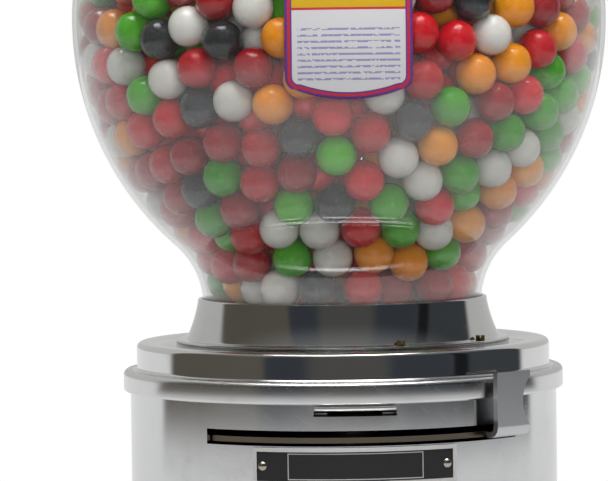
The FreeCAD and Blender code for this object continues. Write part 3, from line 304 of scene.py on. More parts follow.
def closedSheet(front, back):
    # Two grids of points, rows by columns, joined round their rim into one closed skin.
    n = np.arange(front[..., 0].size).reshape(front.shape[:2])
    face = np.stack((n[:-1, :-1], n[:-1, 1:], n[1:, 1:], n[1:, :-1]), -1).reshape(-1, 4)
    rim = np.concatenate((n[0, :-1], n[:-1, -1], n[-1, :0:-1], n[:0:-1, 0]))
    on = np.roll(rim, -1)
    side = np.stack((on, rim, rim + n.size, on + n.size), -1)
    points = np.concatenate((front.reshape(-1, 3), back.reshape(-1, 3)))
    return points, np.concatenate((face, face[:, ::-1] + n.size, side))


def wrapped(reach, angle, height):  # points by distance from the axis, bearing from the front and height
    return np.stack(np.broadcast_arrays(reach * np.sin(angle), -reach * np.cos(angle), height), -1)


def turnPiece(name, section, body, turns):
    # A closed half section (r, z) carried once round the upright axis.
    angle = np.arange(turns)[:, None] / turns * 2 * math.pi
    points = wrapped(section[None, :, 0], angle, section[None, :, 1])
    n = np.arange(turns * len(section)).reshape(turns, len(section))
    right = np.roll(n, -1, axis=0)
    faces = np.stack((n, right, np.roll(right, -1, axis=1), np.roll(n, -1, axis=1)), -1).reshape(-1, 4)
    return newPiece(name, points.reshape(-1, 3), faces, body)


def roundedSection(corners, steps=7):
    # Each corner (r, z, radius) is cut by an arc that touches both of its runs.
    rows = []
    spots = np.array([c[:2] for c in corners])
    for k, (_, _, radius) in enumerate(corners):
        here = spots[k]
        if radius == 0:
            rows.append(here[None])
            continue
        back, on = spots[k - 1] - here, spots[(k + 1) % len(corners)] - here
        back, on = back / np.linalg.norm(back), on / np.linalg.norm(on)
        half = math.acos(np.clip(back @ on, -1, 1)) / 2
        middle = here + (back + on) / np.linalg.norm(back + on) * radius / math.sin(half)
        first = here + back * radius / math.tan(half) - middle
        last = here + on * radius / math.tan(half) - middle
        share = np.linspace(0, 1, steps)[:, None]
        arc = first * (1 - share) + last * share
        rows.append(middle + arc / np.linalg.norm(arc, axis=1, keepdims=True) * radius)
    return np.concatenate(rows)


def addNumbers(item, name, values):  # one number at each point
    item.data.attributes.new(name, "FLOAT", "POINT").data.foreach_set("value", np.asarray(values, np.float32))


# Section of the globe, which the glass, the label and the balls share

globe = {
    "belly": 0.234, "low": 0.119, "neck": 0.0524, "neckArc": 0.030, "lowerArc": 0.113, "upperArc": 0.100,
    "mouth": 0.046, "mouthArc": 0.0045, "mouthTall": 0.005, "skin": 0.00015, "wall": 0.0018,
    "turns": 192, "neckSteps": 24, "bowlSteps": 56, "mouthSteps": 12, "same": 1e-7,
}


def globeSection(depth):
    # Half section from the neck up, drawn in by depth: a line, four arcs and a line, each touching the next.
    g = globe
    shift = g["upperArc"] - g["lowerArc"]
    lowTurn = -math.acos((g["neck"] + g["neckArc"] - shift) / (g["lowerArc"] + g["neckArc"]))
    highTurn = math.acos((g["mouth"] + g["mouthArc"]) / (g["upperArc"] + g["mouthArc"]))
    neckEnd = g["belly"] + (g["lowerArc"] + g["neckArc"]) * math.sin(lowTurn)
    mouthStart = g["belly"] + (g["upperArc"] + g["mouthArc"]) * math.sin(highTurn)
    runs = [  # middle of the arc, its radius, first and last turn, points
        ((g["neck"] + g["neckArc"], neckEnd), -g["neckArc"] - depth, 0.0, lowTurn, g["neckSteps"]),
        ((shift, g["belly"]), g["lowerArc"] - depth, lowTurn, 0.0, g["bowlSteps"]),
        ((0.0, g["belly"]), g["upperArc"] - depth, 0.0, highTurn, g["bowlSteps"]),
        ((g["mouth"] + g["mouthArc"], mouthStart), -g["mouthArc"] - depth, highTurn, 0.0, g["mouthSteps"]),
    ]
    rows = [np.array([[g["neck"] - depth, g["low"]]])]
    for (r, z), arc, first, last, count in runs:
        turn = np.linspace(first, last, count)
        rows.append(np.stack((r + arc * np.cos(turn), z + arc * np.sin(turn)), -1))
    rows.append(np.array([[g["mouth"] - depth, mouthStart + g["mouthTall"]]]))
    section = np.concatenate(rows)
    fresh = np.linalg.norm(np.diff(section, axis=0), axis=1) > g["same"]
    return section[np.concatenate(([True], fresh))]


def globeReach(height, depth=0.0):  # radius at a height, read off the section
    section = globeSection(depth)
    return np.interp(height, section[:, 1], section[:, 0])


# Gumballs: smooth balls by the solids' places, and more of them behind

gum = {
    "radius": 0.00715, "fewestPoints": 60, "slack": 0.02,  # of the solids
    "cells": 3, "shown": 0.00743, "swell": 1.082, "settle": 0.0019,  # swell makes up for the rounding
    "seed": 11, "innerCount": 420, "rounds": 120, "push": 0.4, "coreDepth": 0.0200, "coreStart": 0.003,
    "coreBand": 0.012, "coreHole": 0.014, "headroom": 0.002, "lowBias": 0.8,
    "red": (tone(126, 4, 16), tone(216, 2, 24)), "white": (tone(194, 191, 185), tone(218, 216, 211)),
    "green": (tone(48, 138, 8), tone(84, 186, 8)), "orange": (tone(212, 122, 0), tone(234, 150, 0)),
    "black": (tone(30, 32, 36), tone(54, 58, 64)),
    "innerStops": {"red": 0, "white": 0.50, "green": 0.66, "orange": 0.81, "black": 0.94},
}
sugar = {
    "blotch": 0.0035, "fine": 0.0006, "pitScale": 700.0, "pitEdge": (0.05, 0.16), "pitShadeShare": 0.22,
    # the pit tone is painted shade in the pinholes
    "pitShadeTone": (0.04, 0.03, 0.03), "bloomEdge": (0.56, 0.78), "bloomShare": 0.025,
    "bloomTone": (0.9, 0.88, 0.85), "rough": 0.16, "blotchRough": 0.14, "fineRough": 0.06,
    "coat": 0.5, "coatRough": 0.15, "blotchHigh": 0.7, "fineHigh": 0.2, "pitHigh": 0.3, "depth": 0.00012,
    "ownShade": 0.8, "blotchShade": 0.2,
}


def ballGrid(cells):
    # Six square grids, one for each side of a cube, with each point drawn out to length 1.
    line = np.tan(np.linspace(-1, 1, cells + 1) * math.pi / 4)
    u, v = np.meshgrid(line, line, indexing="ij")
    one = np.ones_like(u)
    sides = [(one, u, v), (-one, -u, v), (-u, one, v), (u, -one, v), (-u, v, one), (u, v, -one)]
    points = np.concatenate([np.stack(side, -1).reshape(-1, 3) for side in sides])
    points /= np.linalg.norm(points, axis=1, keepdims=True)
    n = np.arange((cells + 1) ** 2).reshape(cells + 1, cells + 1)
    quads = np.stack((n[:-1, :-1], n[1:, :-1], n[1:, 1:], n[:-1, 1:]), -1).reshape(-1, 4)
    faces = np.concatenate([quads + k * n.size for k in range(len(sides))])
    points, back = np.unique(points.round(6), axis=0, return_inverse=True)
    faces = back.reshape(-1)[faces]
    flat = points[faces]
    away = np.cross(flat[:, 1] - flat[:, 0], flat[:, 2] - flat[:, 0])
    wrong = (away * flat.mean(1)).sum(1) < 0
    faces[wrong] = faces[wrong][:, ::-1]
    return points, faces


def ballCentres(node):
    # The solids of one node have the same number of points, so equal cuts of the list are single balls.
    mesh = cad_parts[node].data
    points = np.zeros(len(mesh.vertices) * 3)
    mesh.vertices.foreach_get("co", points)
    points = points.reshape(-1, 3)
    wide = 2 * gum["radius"]
    for share in range(gum["fewestPoints"], len(points) + 1):
        if len(points) % share == 0:
            cuts = points.reshape(-1, share, 3)
            if (abs(np.ptp(cuts, axis=1) / wide - 1) < gum["slack"]).all():
                return (cuts.min(1) + cuts.max(1)) / 2
    raise ValueError("no equal balls in " + node)


def settled(centres):
    # Each ball goes out along its nearest line to the globe, up against the thin glass.
    section = globeSection(0.0)
    reach = np.linalg.norm(centres[:, :2], axis=1)
    gap = section[None] - np.stack((reach, centres[:, 2]), -1)[:, None]
    far = np.linalg.norm(gap, axis=-1)
    near = far.argmin(1)
    rows = np.arange(len(centres))
    out = gap[rows, near] / far[rows, near][:, None] * gum["settle"]
    level = centres[:, :2] * (1 + out[:, :1] / np.maximum(reach, 1e-6)[:, None])
    return np.concatenate((level, centres[:, 2:] + out[:, 1:]), 1)


def innerCentres(random, front):
    # Points thrown round the core's skin, then pushed apart from each other and from the balls in front.
    low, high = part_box("gumball_core")
    wide = 2 * gum["shown"]
    lowest, highest = low[2] + gum["radius"], high[2] - gum["headroom"]
    turn = random.random(gum["innerCount"]) * 2 * math.pi
    tall = high[2] - low[2] - 2 * gum["radius"]
    lift = lowest + tall * random.random(gum["innerCount"]) ** gum["lowBias"]
    inner = np.stack((np.cos(turn), np.sin(turn), lift), -1)
    inner[:, :2] *= (globeReach(lift, gum["coreDepth"]) - gum["coreStart"])[:, None]
    for _ in range(gum["rounds"]):
        gap = inner[:, None] - np.concatenate((inner, front))[None]
        far = np.linalg.norm(gap, axis=-1)
        near = np.clip(wide - far, 0, None) * (far > 1e-9)
        inner = inner + (gap * (near / np.maximum(far, 1e-9))[..., None]).sum(1) * gum["push"]
        reach = np.linalg.norm(inner[:, :2], axis=1)
        inner[:, 2] = np.clip(inner[:, 2], lowest, highest)
        most = globeReach(inner[:, 2], gum["coreDepth"])
        keep = np.clip(reach, np.maximum(most - gum["coreBand"], gum["coreHole"]), most)
        inner[:, :2] *= (keep / np.maximum(reach, 1e-6))[:, None]
    return inner


def gumFinish(name, colourOf):
    # Glazed sugar: each ball has its own tint, with faint blotches, pinholes painted dark as painted shade,
    # and a dusty bloom.
    s = sugar
    f = newFinish(name)
    spot = f.place()
    chance = f.node("Attribute", {"attribute_name": "ballChance"}, out="Fac")
    blotch = f.noise(spot, s["blotch"], detail=4.0, rough=0.6)
    fine = f.noise(spot, s["fine"], detail=2.0)
    pits = f.step(f.node("TexVoronoi", inputs={"Vector": spot, "Scale": s["pitScale"]}), *s["pitEdge"])
    # painted shade: the sunk pinholes are blended toward the dark pit tone
    colour = f.blend((1 - pits) * s["pitShadeShare"], colourOf(f, chance, blotch), s["pitShadeTone"])
    colour = f.blend(f.step(blotch, *s["bloomEdge"]) * s["bloomShare"], colour, s["bloomTone"])
    height = blotch * s["blotchHigh"] + fine * s["fineHigh"] + pits * s["pitHigh"]
    return f.surface(f.node("BsdfPrincipled", inputs={
        "Base Color": colour, "Roughness": s["rough"] + blotch * s["blotchRough"] + fine * s["fineRough"],
        "Coat Weight": s["coat"], "Coat Roughness": s["coatRough"], "Normal": f.bump(height, s["depth"]),
    }))


def makeBalls(name, centres, material, chance):
    # One rounded grid at each centre.
    ball, quads = ballGrid(gum["cells"])
    points = centres[:, None] + ball[None] * gum["shown"] * gum["swell"]
    faces = quads[None] + (np.arange(len(centres)) * len(ball))[:, None, None]
    item = newPiece(name, points.reshape(-1, 3), faces.reshape(-1, 4), "base")
    addNumbers(item, "ballChance", np.repeat(chance, len(ball)))
    rounding = item.modifiers.new("rounding", "SUBSURF")
    rounding.levels = rounding.render_levels = 1
    item.data.materials.append(material)
    return item


def makeGumballs():
    random = np.random.default_rng(gum["seed"])
    front = []
    for colour in gum["innerStops"]:
        centres = settled(ballCentres(colour + "_gumballs"))
        front.append(centres)

        def ownColour(f, chance, blotch, pair=gum[colour]):
            return f.blend(chance * sugar["ownShade"] + blotch * sugar["blotchShade"], *pair)

        finish = gumFinish(colour + "Sugar", ownColour)
        item = makeBalls(colour + "Balls", centres, finish, random.random(len(centres)))
        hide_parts(colour + "_gumballs")
        colour + "_gum"
    front = np.concatenate(front)
    inner = innerCentres(random, front)
    stops = [(place, gum[colour][1]) for colour, place in gum["innerStops"].items()]

    def anyColour(f, chance, blotch):
        return f.node("ValToRGB", {"interpolation": "CONSTANT", "stops": stops}, {0: chance})

    item = makeBalls("innerBalls", inner, gumFinish("innerSugar", anyColour), random.random(len(inner)))
    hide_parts("gumball_core")
    print("gumballs", len(front), "seen and", len(inner), "behind")


makeGumballs()


# Metal, rubber, brass and enamel

metal = {
    "ringTurn": 0.004, "ringSize": 0.0005, "cloudSize": 0.022, "scratchSize": 0.02, "tilt": 0.3,
    "slant": (40.0, 1.2, 8.0), "cross": (36.0, 1.5, 8.0),  # how much finer the scratches are along each axis
    "slantEdge": (0.66, 0.76), "slantShare": 1.0, "crossEdge": (0.70, 0.78), "crossShare": 0.7,
    "ringShine": 0.08, "cloudShine": 0.08, "scratchShine": 0.12,
    "dull": 0.76, "dullEdge": (0.45, 0.8), "dullShare": 0.3, "relief": 0.3, "depth": 0.000006,
    "brown": (0.20, 0.17, 0.13), "brownSoft": 0.0004,
}


def metalFinish(name, colour, rough, lines=0.5, hair=0.5, satin=None, brown=None):
    # Turned and polished: fine rings round the axis, stray hairline scratches and cloudy patches.
    # satin adds roughness by place, and inside the radius brown the metal is painted dark brown.
    m = metal
    f = newFinish(name)
    spot = f.place()
    x, y, z = f.xyz(spot)
    far = f.reach(x, y)
    turn = f.node("Math", {"operation": "ARCTAN2"}, {0: y, 1: x})
    rings = f.noise(f.vector(turn * m["ringTurn"], far, z), m["ringSize"], rough=0.6)
    cloud = f.noise(spot, m["cloudSize"], detail=4.0, rough=0.55)
    scratch = 0.0
    ways = {"slant": (x + z, x - z, y), "cross": (x * m["tilt"] - z, x + z * m["tilt"], y)}
    for way, axes in ways.items():
        fine = f.vector(*[axis * finer for axis, finer in zip(axes, m[way])])
        mark = f.step(f.noise(fine, m["scratchSize"], detail=1.0), *m[way + "Edge"])
        scratch = mark * m[way + "Share"] + scratch
    shine = rough + (rings - 0.5) * (m["ringShine"] * lines) + (cloud - 0.5) * m["cloudShine"]
    shine = shine + scratch * (m["scratchShine"] * hair)
    if satin is not None:
        shine = shine + satin(f, far, z)
    dull = tuple(c * m["dull"] for c in colour)
    tint = f.blend(f.step(cloud, *m["dullEdge"]) * m["dullShare"], colour, dull)
    if brown is not None:
        tint = f.blend(1 - f.step(far, brown - m["brownSoft"], brown), tint, m["brown"])
    height = rings * (m["relief"] * lines) - scratch * (m["relief"] * hair)
    return f.surface(f.node("BsdfPrincipled", inputs={
        "Base Color": tint, "Metallic": 1.0, "Roughness": shine, "Normal": f.bump(height, m["depth"]),
    }))


sheet = {
    "grainSize": 0.0006, "grainLong": 0.06, "cloudSize": 0.012, "spotSize": 0.003, "spotEdge": (0.62, 0.75),
    "dull": 0.6, "cloudDull": 0.5, "spotDull": 0.3, "grainRough": 0.14, "spotRough": 0.15,
    "grainHigh": 0.5, "cloudHigh": 0.3, "depth": 0.00004,
}


def sheetFinish(name, colour, rough):
    # Rolled sheet: a straight grain, cloudy patches and dull spots.
    s = sheet
    f = newFinish(name)
    spot = f.place()
    x, y, z = f.xyz(spot)
    grain = f.noise(f.vector(x * s["grainLong"], y, z), s["grainSize"], rough=0.6)
    cloud = f.noise(spot, s["cloudSize"], detail=4.0, rough=0.6)
    spots = f.step(f.noise(spot, s["spotSize"]), *s["spotEdge"])
    dull = tuple(c * s["dull"] for c in colour)
    height = grain * s["grainHigh"] + cloud * s["cloudHigh"]
    return f.surface(f.node("BsdfPrincipled", inputs={
        "Base Color": f.blend(cloud * s["cloudDull"] + spots * s["spotDull"], colour, dull), "Metallic": 1.0,
        "Roughness": rough + grain * s["grainRough"] + spots * s["spotRough"],
        "Normal": f.bump(height, s["depth"]),
    }))


rubber = {
    "black": (0.02, 0.02, 0.021), "dust": (0.12, 0.115, 0.11), "dustSize": 0.006, "dustEdge": (0.5, 0.8),
    "dustShare": 0.4, "grainSize": 0.0008, "rough": 0.55, "grainRough": 0.3, "depth": 0.00008,
}


def rubberFinish(name):
    # Black rubber with a fine grain and pale dust in patches.
    r = rubber
    f = newFinish(name)
    spot = f.place()
    grain = f.noise(spot, r["grainSize"])
    dust = f.step(f.noise(spot, r["dustSize"], detail=4.0, rough=0.6), *r["dustEdge"])
    return f.surface(f.node("BsdfPrincipled", inputs={
        "Base Color": f.blend(dust * r["dustShare"], r["black"], r["dust"]),
        "Roughness": r["rough"] + grain * r["grainRough"], "Normal": f.bump(grain, r["depth"]),
    }))


brass = {
    "bright": (0.60, 0.42, 0.15), "brown": (0.12, 0.08, 0.04), "patchSize": 0.0016, "patchEdge": (0.42, 0.62),
    "fineSize": 0.0003, "rough": 0.2, "patchRough": 0.25, "fineRough": 0.1, "depth": 0.00004,
}


def brassFinish(name):
    # Brass browned in patches, with worn bright places.
    b = brass
    f = newFinish(name)
    spot = f.place()
    patch = f.noise(spot, b["patchSize"], detail=4.0, rough=0.6)
    fine = f.noise(spot, b["fineSize"], detail=2.0)
    return f.surface(f.node("BsdfPrincipled", inputs={
        "Base Color": f.blend(f.step(patch, *b["patchEdge"]), b["bright"], b["brown"]), "Metallic": 1.0,
        "Roughness": b["rough"] + patch * b["patchRough"] + fine * b["fineRough"],
        "Normal": f.bump(fine + patch, b["depth"]),
    }))


plate = {
    "fieldEdge": (0.0807, 0.0809), "reach": 0.0811, "low": 0.0672, "high": 0.0807, "half": 0.0267,
    "line": 0.0022, "lineEdge": (0.00012, 0.00021), "lineShare": 0.8,
    "ink": ((0.006, 0.006, 0.007), (0.020, 0.020, 0.022)),
    "silver": ((0.50, 0.50, 0.49), (0.62, 0.62, 0.61)), "metallic": 0.45,
    "mottleSize": 0.0012, "mottleShare": 0.5, "fineSize": 0.0003,
    "rough": 0.3, "mottleRough": 0.15, "fineRough": 0.08, "fineHigh": 0.4, "depth": 0.00003,
}


def plateFinish(name):
    # Black enamel in the sunk field with a fine silver line round it; the raised border is bright metal.
    p = plate
    f = newFinish(name)
    spot = f.place()
    x, y, z = f.xyz(spot)
    bare = f.step(f.reach(x, y), *p["fieldEdge"])
    upGap = (p["high"] - p["low"]) / 2 - abs(z - (p["high"] + p["low"]) / 2)
    sideGap = p["half"] - abs(f.bearing(x, y) * p["reach"])
    gap = f.node("Math", {"operation": "MINIMUM"}, {0: upGap, 1: sideGap})
    line = 1 - f.step(abs(gap - p["line"]), *p["lineEdge"])
    mottle = f.noise(spot, p["mottleSize"], detail=4.0, rough=0.6)
    fine = f.noise(spot, p["fineSize"], detail=2.0)
    share = f.node("Math", {"operation": "MAXIMUM"}, {0: bare, 1: line * p["lineShare"]})
    ink, silver = f.blend(mottle * p["mottleShare"], *p["ink"]), f.blend(mottle, *p["silver"])
    return f.surface(f.node("BsdfPrincipled", inputs={
        "Base Color": f.blend(share, ink, silver), "Metallic": share * p["metallic"],
        "Roughness": p["rough"] + mottle * p["mottleRough"] + fine * p["fineRough"],
        "Normal": f.bump(fine * p["fineHigh"], p["depth"]),
    }))


# Glass of the globe

glass = {
    "clear": (0.985, 0.99, 0.988, 1), "thick": (0.90, 0.905, 0.90, 1), "thickEdge": (0.45, 0.95),
    "dust": (0.90, 0.86, 0.84, 1), "haze": 0.003, "rimHaze": 0.10,
    "neckHazeAndReflection": 0.045, "neckEdge": (0.132, 0.146),
    "veilAndReflection": 0.036, "veilTop": (0.2015, 0.2055), "veilWave": 0.004, "veilFade": (0.150, 0.2035),
    "veilLeast": 0.25, "veilLeft": (-0.70, -0.30), "veilRight": (0.25, 0.85),
    "cloudSize": 0.02, "cloudLeast": 0.6, "cloudMore": 0.8, "streakSize": 0.006, "streakLong": 0.25,
    "rough": 0.02, "streakRough": 0.03, "speckScale": 160.0, "speckEdge": (0.04, 0.09), "speck": 0.03,
    "mirrorHead": 0.04,  # what smooth glass mirrors head on
}


def glassFinish(name):
    # Clear glass that mirrors more when seen edge on; a thin pale layer clouds its lower front and neck,
    # partly sugar dust and partly a painted reflection.
    g = glass
    f = newFinish(name)
    spot = f.place()
    x, y, z = f.xyz(spot)
    cloud = f.noise(spot, g["cloudSize"], detail=4.0, rough=0.55)
    streak = f.noise(f.vector(x, y, z * g["streakLong"]), g["streakSize"])
    cells = f.node("TexVoronoi", inputs={"Vector": spot, "Scale": g["speckScale"]})
    graze = f.node("LayerWeight", inputs={"Blend": 0.5}, out="Facing")
    clear = f.node("BsdfTransparent", inputs={"Color": g["clear"]})
    thick = f.node("BsdfTransparent", inputs={"Color": g["thick"]})
    rough = g["rough"] + streak * g["streakRough"]
    mirror = f.node("BsdfGlossy", inputs={"Color": (1, 1, 1, 1), "Roughness": rough})
    dust = f.node("BsdfDiffuse", inputs={"Color": g["dust"]})
    turn = f.bearing(x, y)
    # the veil under the label is partly sugar dust and partly a painted reflection of the pale floor on the
    # lower front
    veilAndReflection = 1 - f.step(z + (cloud - 0.5) * g["veilWave"], *g["veilTop"])
    veilAndReflection = veilAndReflection * (g["veilLeast"] + (1 - g["veilLeast"]) * f.step(z, *g["veilFade"]))
    veilAndReflection = veilAndReflection * f.step(turn, *g["veilLeft"]) * (1 - f.step(turn, *g["veilRight"]))
    # the neck's pale layer is partly sugar dust and partly a painted reflection at the neck
    neck = 1 - f.step(z, *g["neckEdge"])
    cover = g["haze"] + g["rimHaze"] * graze ** 3 + veilAndReflection * g["veilAndReflection"] + neck * g["neckHazeAndReflection"]
    specks = (1 - f.step(cells, *g["speckEdge"])) * g["speck"]
    cover = cover * (g["cloudLeast"] + cloud * g["cloudMore"]) + specks
    body = f.mix(cover, f.mix(f.step(graze, *g["thickEdge"]), clear, thick), dust)
    return f.surface(f.mix(g["mirrorHead"] + (1 - g["mirrorHead"]) * graze ** 5, body, mirror))


def makeGlass():
    # The globe's section at its outer skin, and back along its inner wall.
    outer, inner = globeSection(globe["skin"]), globeSection(globe["wall"])
    item = turnPiece("globeGlass", np.concatenate((outer, inner[::-1])), "base", globe["turns"])
    item.data.materials.append(glassFinish("clearGlass"))
    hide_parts("glass_globe")


# Cover and collar, finely turned, and the lip of the coin slit

crown = {  # corners of the turned sections: radius, height, rounding
    "cover": [
        (0.0505, 0.112, 0), (0.0755, 0.112, 0), (0.0755, 0.102, 0), (0.0803, 0.102, 0), (0.0803, 0.096, 0),
        (0.0825, 0.096, 0.001), (0.0825, 0.104, 0.0021), (0.0775, 0.104, 0.001), (0.0775, 0.114, 0.002),
        (0.0505, 0.114, 0),
    ],
    "collarFoot": [(0.0558, 0.114, 0), (0.0625, 0.114, 0), (0.0625, 0.115, 0.0006), (0.0588, 0.115, 0.0006)],
    "collarTop": [
        (0.0542, 0.130, 0.0007), (0.0527, 0.130, 0.0005), (0.0527, 0.1175, 0), (0.0486, 0.1175, 0),
        (0.0486, 0.1155, 0), (0.0558, 0.1155, 0),
    ],
    "hollow": 0.0006, "flareRun": (0.06, 0.94), "flareSteps": 14, "turns": 256,
    "coverMetal": {"colour": (0.70, 0.70, 0.70), "rough": 0.08, "lines": 0.15},
    "collarMetal": {"colour": (0.62, 0.625, 0.62), "rough": 0.09, "lines": 0.4},
    "rimEdge": (0.0785, 0.080), "rimDull": 0.10, "rimTop": (0.1015, 0.1032), "topDull": 0.12,
}


def rimSatin(f, far, z):  # the rolled rim is duller than the rest, most of all on its top
    onTop = f.step(z, *crown["rimTop"]) * crown["topDull"]
    return f.step(far, *crown["rimEdge"]) * (crown["rimDull"] + onTop)


def makeCrown():
    # The collar's flare is a line from foot to top, hollowed by a parabola.
    c = crown
    cover = turnPiece("topCover", roundedSection(c["cover"]), "base", c["turns"])
    foot, top = np.array(c["collarFoot"][-1][:2]), np.array(c["collarTop"][0][:2])
    share = np.linspace(*c["flareRun"], c["flareSteps"])[:, None]
    away = np.array([-(top - foot)[1], (top - foot)[0]]) / np.linalg.norm(top - foot)
    flare = foot * (1 - share) + top * share + away * c["hollow"] * 4 * share * (1 - share)
    corners = c["collarFoot"] + [(r, z, 0) for r, z in flare.tolist()] + c["collarTop"]
    collar = turnPiece("globeCollar", roundedSection(corners), "base", c["turns"])
    coverMetal = metalFinish("polishedCover", **c["coverMetal"], satin=rimSatin)
    collarMetal = metalFinish("polishedCollar", **c["collarMetal"])
    for item, node, material in ((cover, "top_cover", coverMetal), (collar, "globe_collar", collarMetal)):
        item.data.materials.append(material)
        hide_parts(node)


lip = {
    "reach": 0.080, "bed": 0.0001, "proud": 0.0016, "low": 0.0936, "tall": 0.0021, "half": 0.0148,
    "end": 0.0012, "endTall": 0.4, "across": 61, "round": 13,
    "metal": {"colour": (0.90, 0.89, 0.86), "rough": 0.42, "lines": 0.2},
}


def makeLip(p):
    # A half round bar bent round the drum: the turn runs from its foot to its top, and its ends taper off.
    run = np.linspace(-p["half"], p["half"], p["across"])
    along, turn = np.meshgrid(run, np.linspace(-1, 1, p["round"]) * math.pi / 2)
    taper = np.sqrt(1 - np.clip((abs(along) - p["half"] + p["end"]) / p["end"], 0, 1) ** 2)
    angle = along / p["reach"]
    height = p["low"] + p["tall"] / 2 * (1 + (p["endTall"] + (1 - p["endTall"]) * taper) * np.sin(turn))
    front = wrapped(p["reach"] + p["proud"] * taper * np.cos(turn), angle, height)
    item = newPiece("slotLip", *closedSheet(front, wrapped(p["reach"] - p["bed"], angle, height)), "base")
    item.data.materials.append(metalFinish("brightLip", **p["metal"]))
    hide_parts("coin_slot_lip")


# Finishes on the solids that stay

def dressSolids():
    rows = [
        (metalFinish("polishedDrum", (0.70, 0.705, 0.71), 0.11, lines=0.3), "body_shell"),
        (metalFinish("polishedTrim", (0.72, 0.72, 0.72), 0.10), "base_ring outlet_frame lid"),
        # inside radius 0.0815, where the lever lies within the drum, it is painted dark brown
        (metalFinish("polishedLever", (0.60, 0.605, 0.61), 0.30, lines=0.0, hair=0.9, brown=0.0815), "lever"),
        (metalFinish("turnedSteel", (0.56, 0.56, 0.57), 0.22, lines=0.9),
         "tie_rod rod_boss deck_posts thrust_collar lever_hub flap_pin return_spring lock_nut"),
        (metalFinish("platedScrews", (0.50, 0.50, 0.50), 0.28, lines=0.4), "base_screws deck_screws"),
        (metalFinish("lockChrome", (0.70, 0.70, 0.71), 0.08), "lock_barrel"),
        (metalFinish("rivetMetal", (0.50, 0.46, 0.38), 0.25), "nameplate_rivets"),
        (sheetFinish("castWheel", (0.55, 0.55, 0.54), 0.4), "dispensing_wheel"),
        (sheetFinish("rolledSheet", (0.52, 0.52, 0.53), 0.28),
         "base_plate coin_box chute coin_rail deck_plate hopper_floor coin_carrier outlet_flap"),
        (brassFinish("agedBrass"), "collar_screws lock_plug"),
        (rubberFinish("blackRubber"), "rubber_feet globe_seal lid_seal"),
        (plateFinish("blackEnamel"), "nameplate"),
    ]
    for material, nodes in rows:
        for node in nodes.split():
            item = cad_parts[node]
            if not item.material_slots:
                item.data.materials.append(material)
            for slot in item.material_slots:
                slot.material = material


makeGlass()
makeCrown()
makeLip(lip)
dressSolids()
print("metal and glass made")


# Label on the globe's front: a plain generic one

label = {
    "low": 0.2068, "tall": 0.068, "half": 0.0225, "corner": 0.005, "bow": 0.003, "slope": 0.985,
    "lift": (-0.00002, -0.00012), "azimuth": -1.0, "across": 47, "up": 71,
    "violet": tone(92, 44, 120), "red": tone(176, 30, 48), "yellow": tone(188, 150, 2),
    "white": tone(192, 191, 193), "blue": tone(96, 92, 160), "green": tone(60, 140, 50),
    "paperSize": 0.0008, "grime": (0.55, 0.52, 0.48), "grimeShare": 0.05,
    "rough": 0.32, "paperRough": 0.12, "specular": 0.2, "depth": 0.00003,
}
printed = {  # millimetres
    "panelTop": 29.0, "panelEdge": 0.1, "barEdge": (0.35, 0.5),
    "borders": ((1.0, 1.15), (1.9, 2.05), (2.5, 2.65)),
    "rowGap": 2.2, "rowShift": 0.2, "rowEdge": (0.25, 0.5), "textGap": 6.0, "textLow": 3.5, "textHalf": 18.0,
    "wordSize": 1.6, "wordStep": 7, "wordEdge": (0.40, 0.44), "wordShare": 0.75,
    "dotScale": 0.16, "dotScatter": 0.35, "dotEdge": (0.33, 0.36), "dotGap": 5.0,
    "dotStops": {"red": 0, "green": 0.36, "white": 0.55, "violet": 0.75},
}


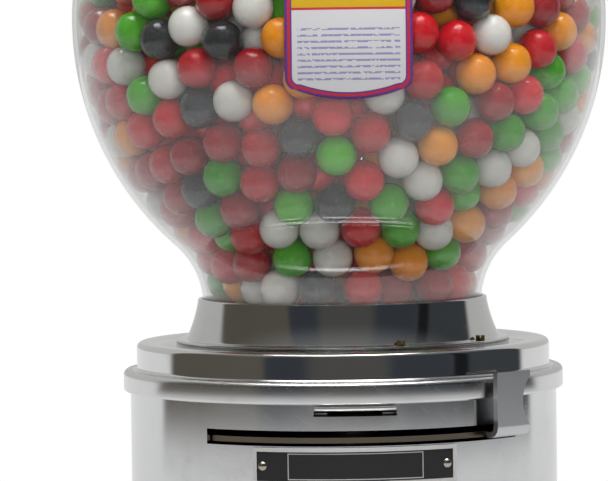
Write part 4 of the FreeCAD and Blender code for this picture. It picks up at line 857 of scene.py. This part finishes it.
def labelFinish(name, p, q):
    # Print by distance: a violet and red border, a white ruled panel below and coloured dots on yellow above.
    f = newFinish(name)
    keys = ("rimGap", "acrossMm", "upMm")
    rim, x, y = [f.node("Attribute", {"attribute_name": key}, out="Fac") for key in keys]
    paper = f.noise(f.place(), p["paperSize"])
    top = q["panelTop"]
    shifted = y + q["rowShift"]
    row = f.node("Math", {"operation": "PINGPONG"}, {0: shifted, 1: q["rowGap"] / 2})
    count = f.node("Math", {"operation": "FLOOR"}, {0: shifted / q["rowGap"]})
    word = f.noise(f.vector(x, count * q["wordStep"], 0.0), q["wordSize"], detail=1.0)
    text = (y < top - q["textGap"]) * (y > q["textLow"]) * (abs(x) < q["textHalf"])
    rule = (1 - f.step(row, *q["rowEdge"])) * text * f.step(word, *q["wordEdge"])
    panel = f.blend(rule * q["wordShare"], p["white"], p["blue"])
    dot = f.node("TexVoronoi", {"voronoi_dimensions": "2D"}, {
        "Vector": f.vector(x, y, 0.0), "Scale": q["dotScale"], "Randomness": q["dotScatter"],
    })
    pick = f.xyz(f.others(dot, ["Color"])[0])[0]
    stops = [(place, p[colour]) for colour, place in q["dotStops"].items()]
    dots = f.node("ValToRGB", {"interpolation": "CONSTANT", "stops": stops}, {0: pick})
    field = f.blend((1 - f.step(dot, *q["dotEdge"])) * (y > top + q["dotGap"]), p["yellow"], dots)
    inside = f.blend(f.step(y, top - q["panelEdge"], top + q["panelEdge"]), panel, field)
    inside = f.blend(1 - f.step(abs(y - top), *q["barEdge"]), inside, p["red"])
    colour = p["violet"]
    for edge, within in zip(q["borders"], (p["red"], p["violet"], inside)):
        colour = f.blend(f.step(rim, *edge), colour, within)
    colour = f.blend(paper * p["grimeShare"], colour, p["grime"])
    return f.surface(f.node("BsdfPrincipled", inputs={
        "Base Color": colour, "Roughness": p["rough"] + paper * p["paperRough"],
        "Specular IOR Level": p["specular"], "Normal": f.bump(paper, p["depth"]),
    }))


def makeLabel(p):
    # A rounded rectangle wrapped round the globe: u runs across, v up, and the foot bows down in its middle.
    u, v = np.meshgrid(np.linspace(-1, 1, p["across"]), np.linspace(0, 1, p["up"]))
    edge = np.clip(p["corner"] - np.minimum(v, 1 - v) * p["tall"], 0, None)
    inset = p["corner"] - np.sqrt(p["corner"] ** 2 - edge ** 2)
    across = u * (p["half"] - inset)
    up = v * p["tall"] - p["bow"] * (1 - u ** 2) * (1 - v) ** 3
    height = p["low"] + up * p["slope"]
    reach = globeReach(height)
    angle = across / reach + math.radians(p["azimuth"])
    sides = [wrapped(reach + lift, angle, height) for lift in p["lift"]]
    item = newPiece("globeLabel", *closedSheet(*sides), "base")
    flat = np.stack((across, up), -1) * 1000
    rim = np.concatenate((flat[0], flat[-1], flat[:, 0], flat[:, -1]))
    far = np.linalg.norm(flat.reshape(-1, 1, 2) - rim[None], axis=-1).min(1)
    for name, values in (("rimGap", far), ("acrossMm", flat[..., 0]), ("upMm", flat[..., 1])):
        addNumbers(item, name, np.tile(values.reshape(-1), len(sides)))
    item.data.materials.append(labelFinish("printedLabel", p, printed))


makeLabel(label)
print("label made")
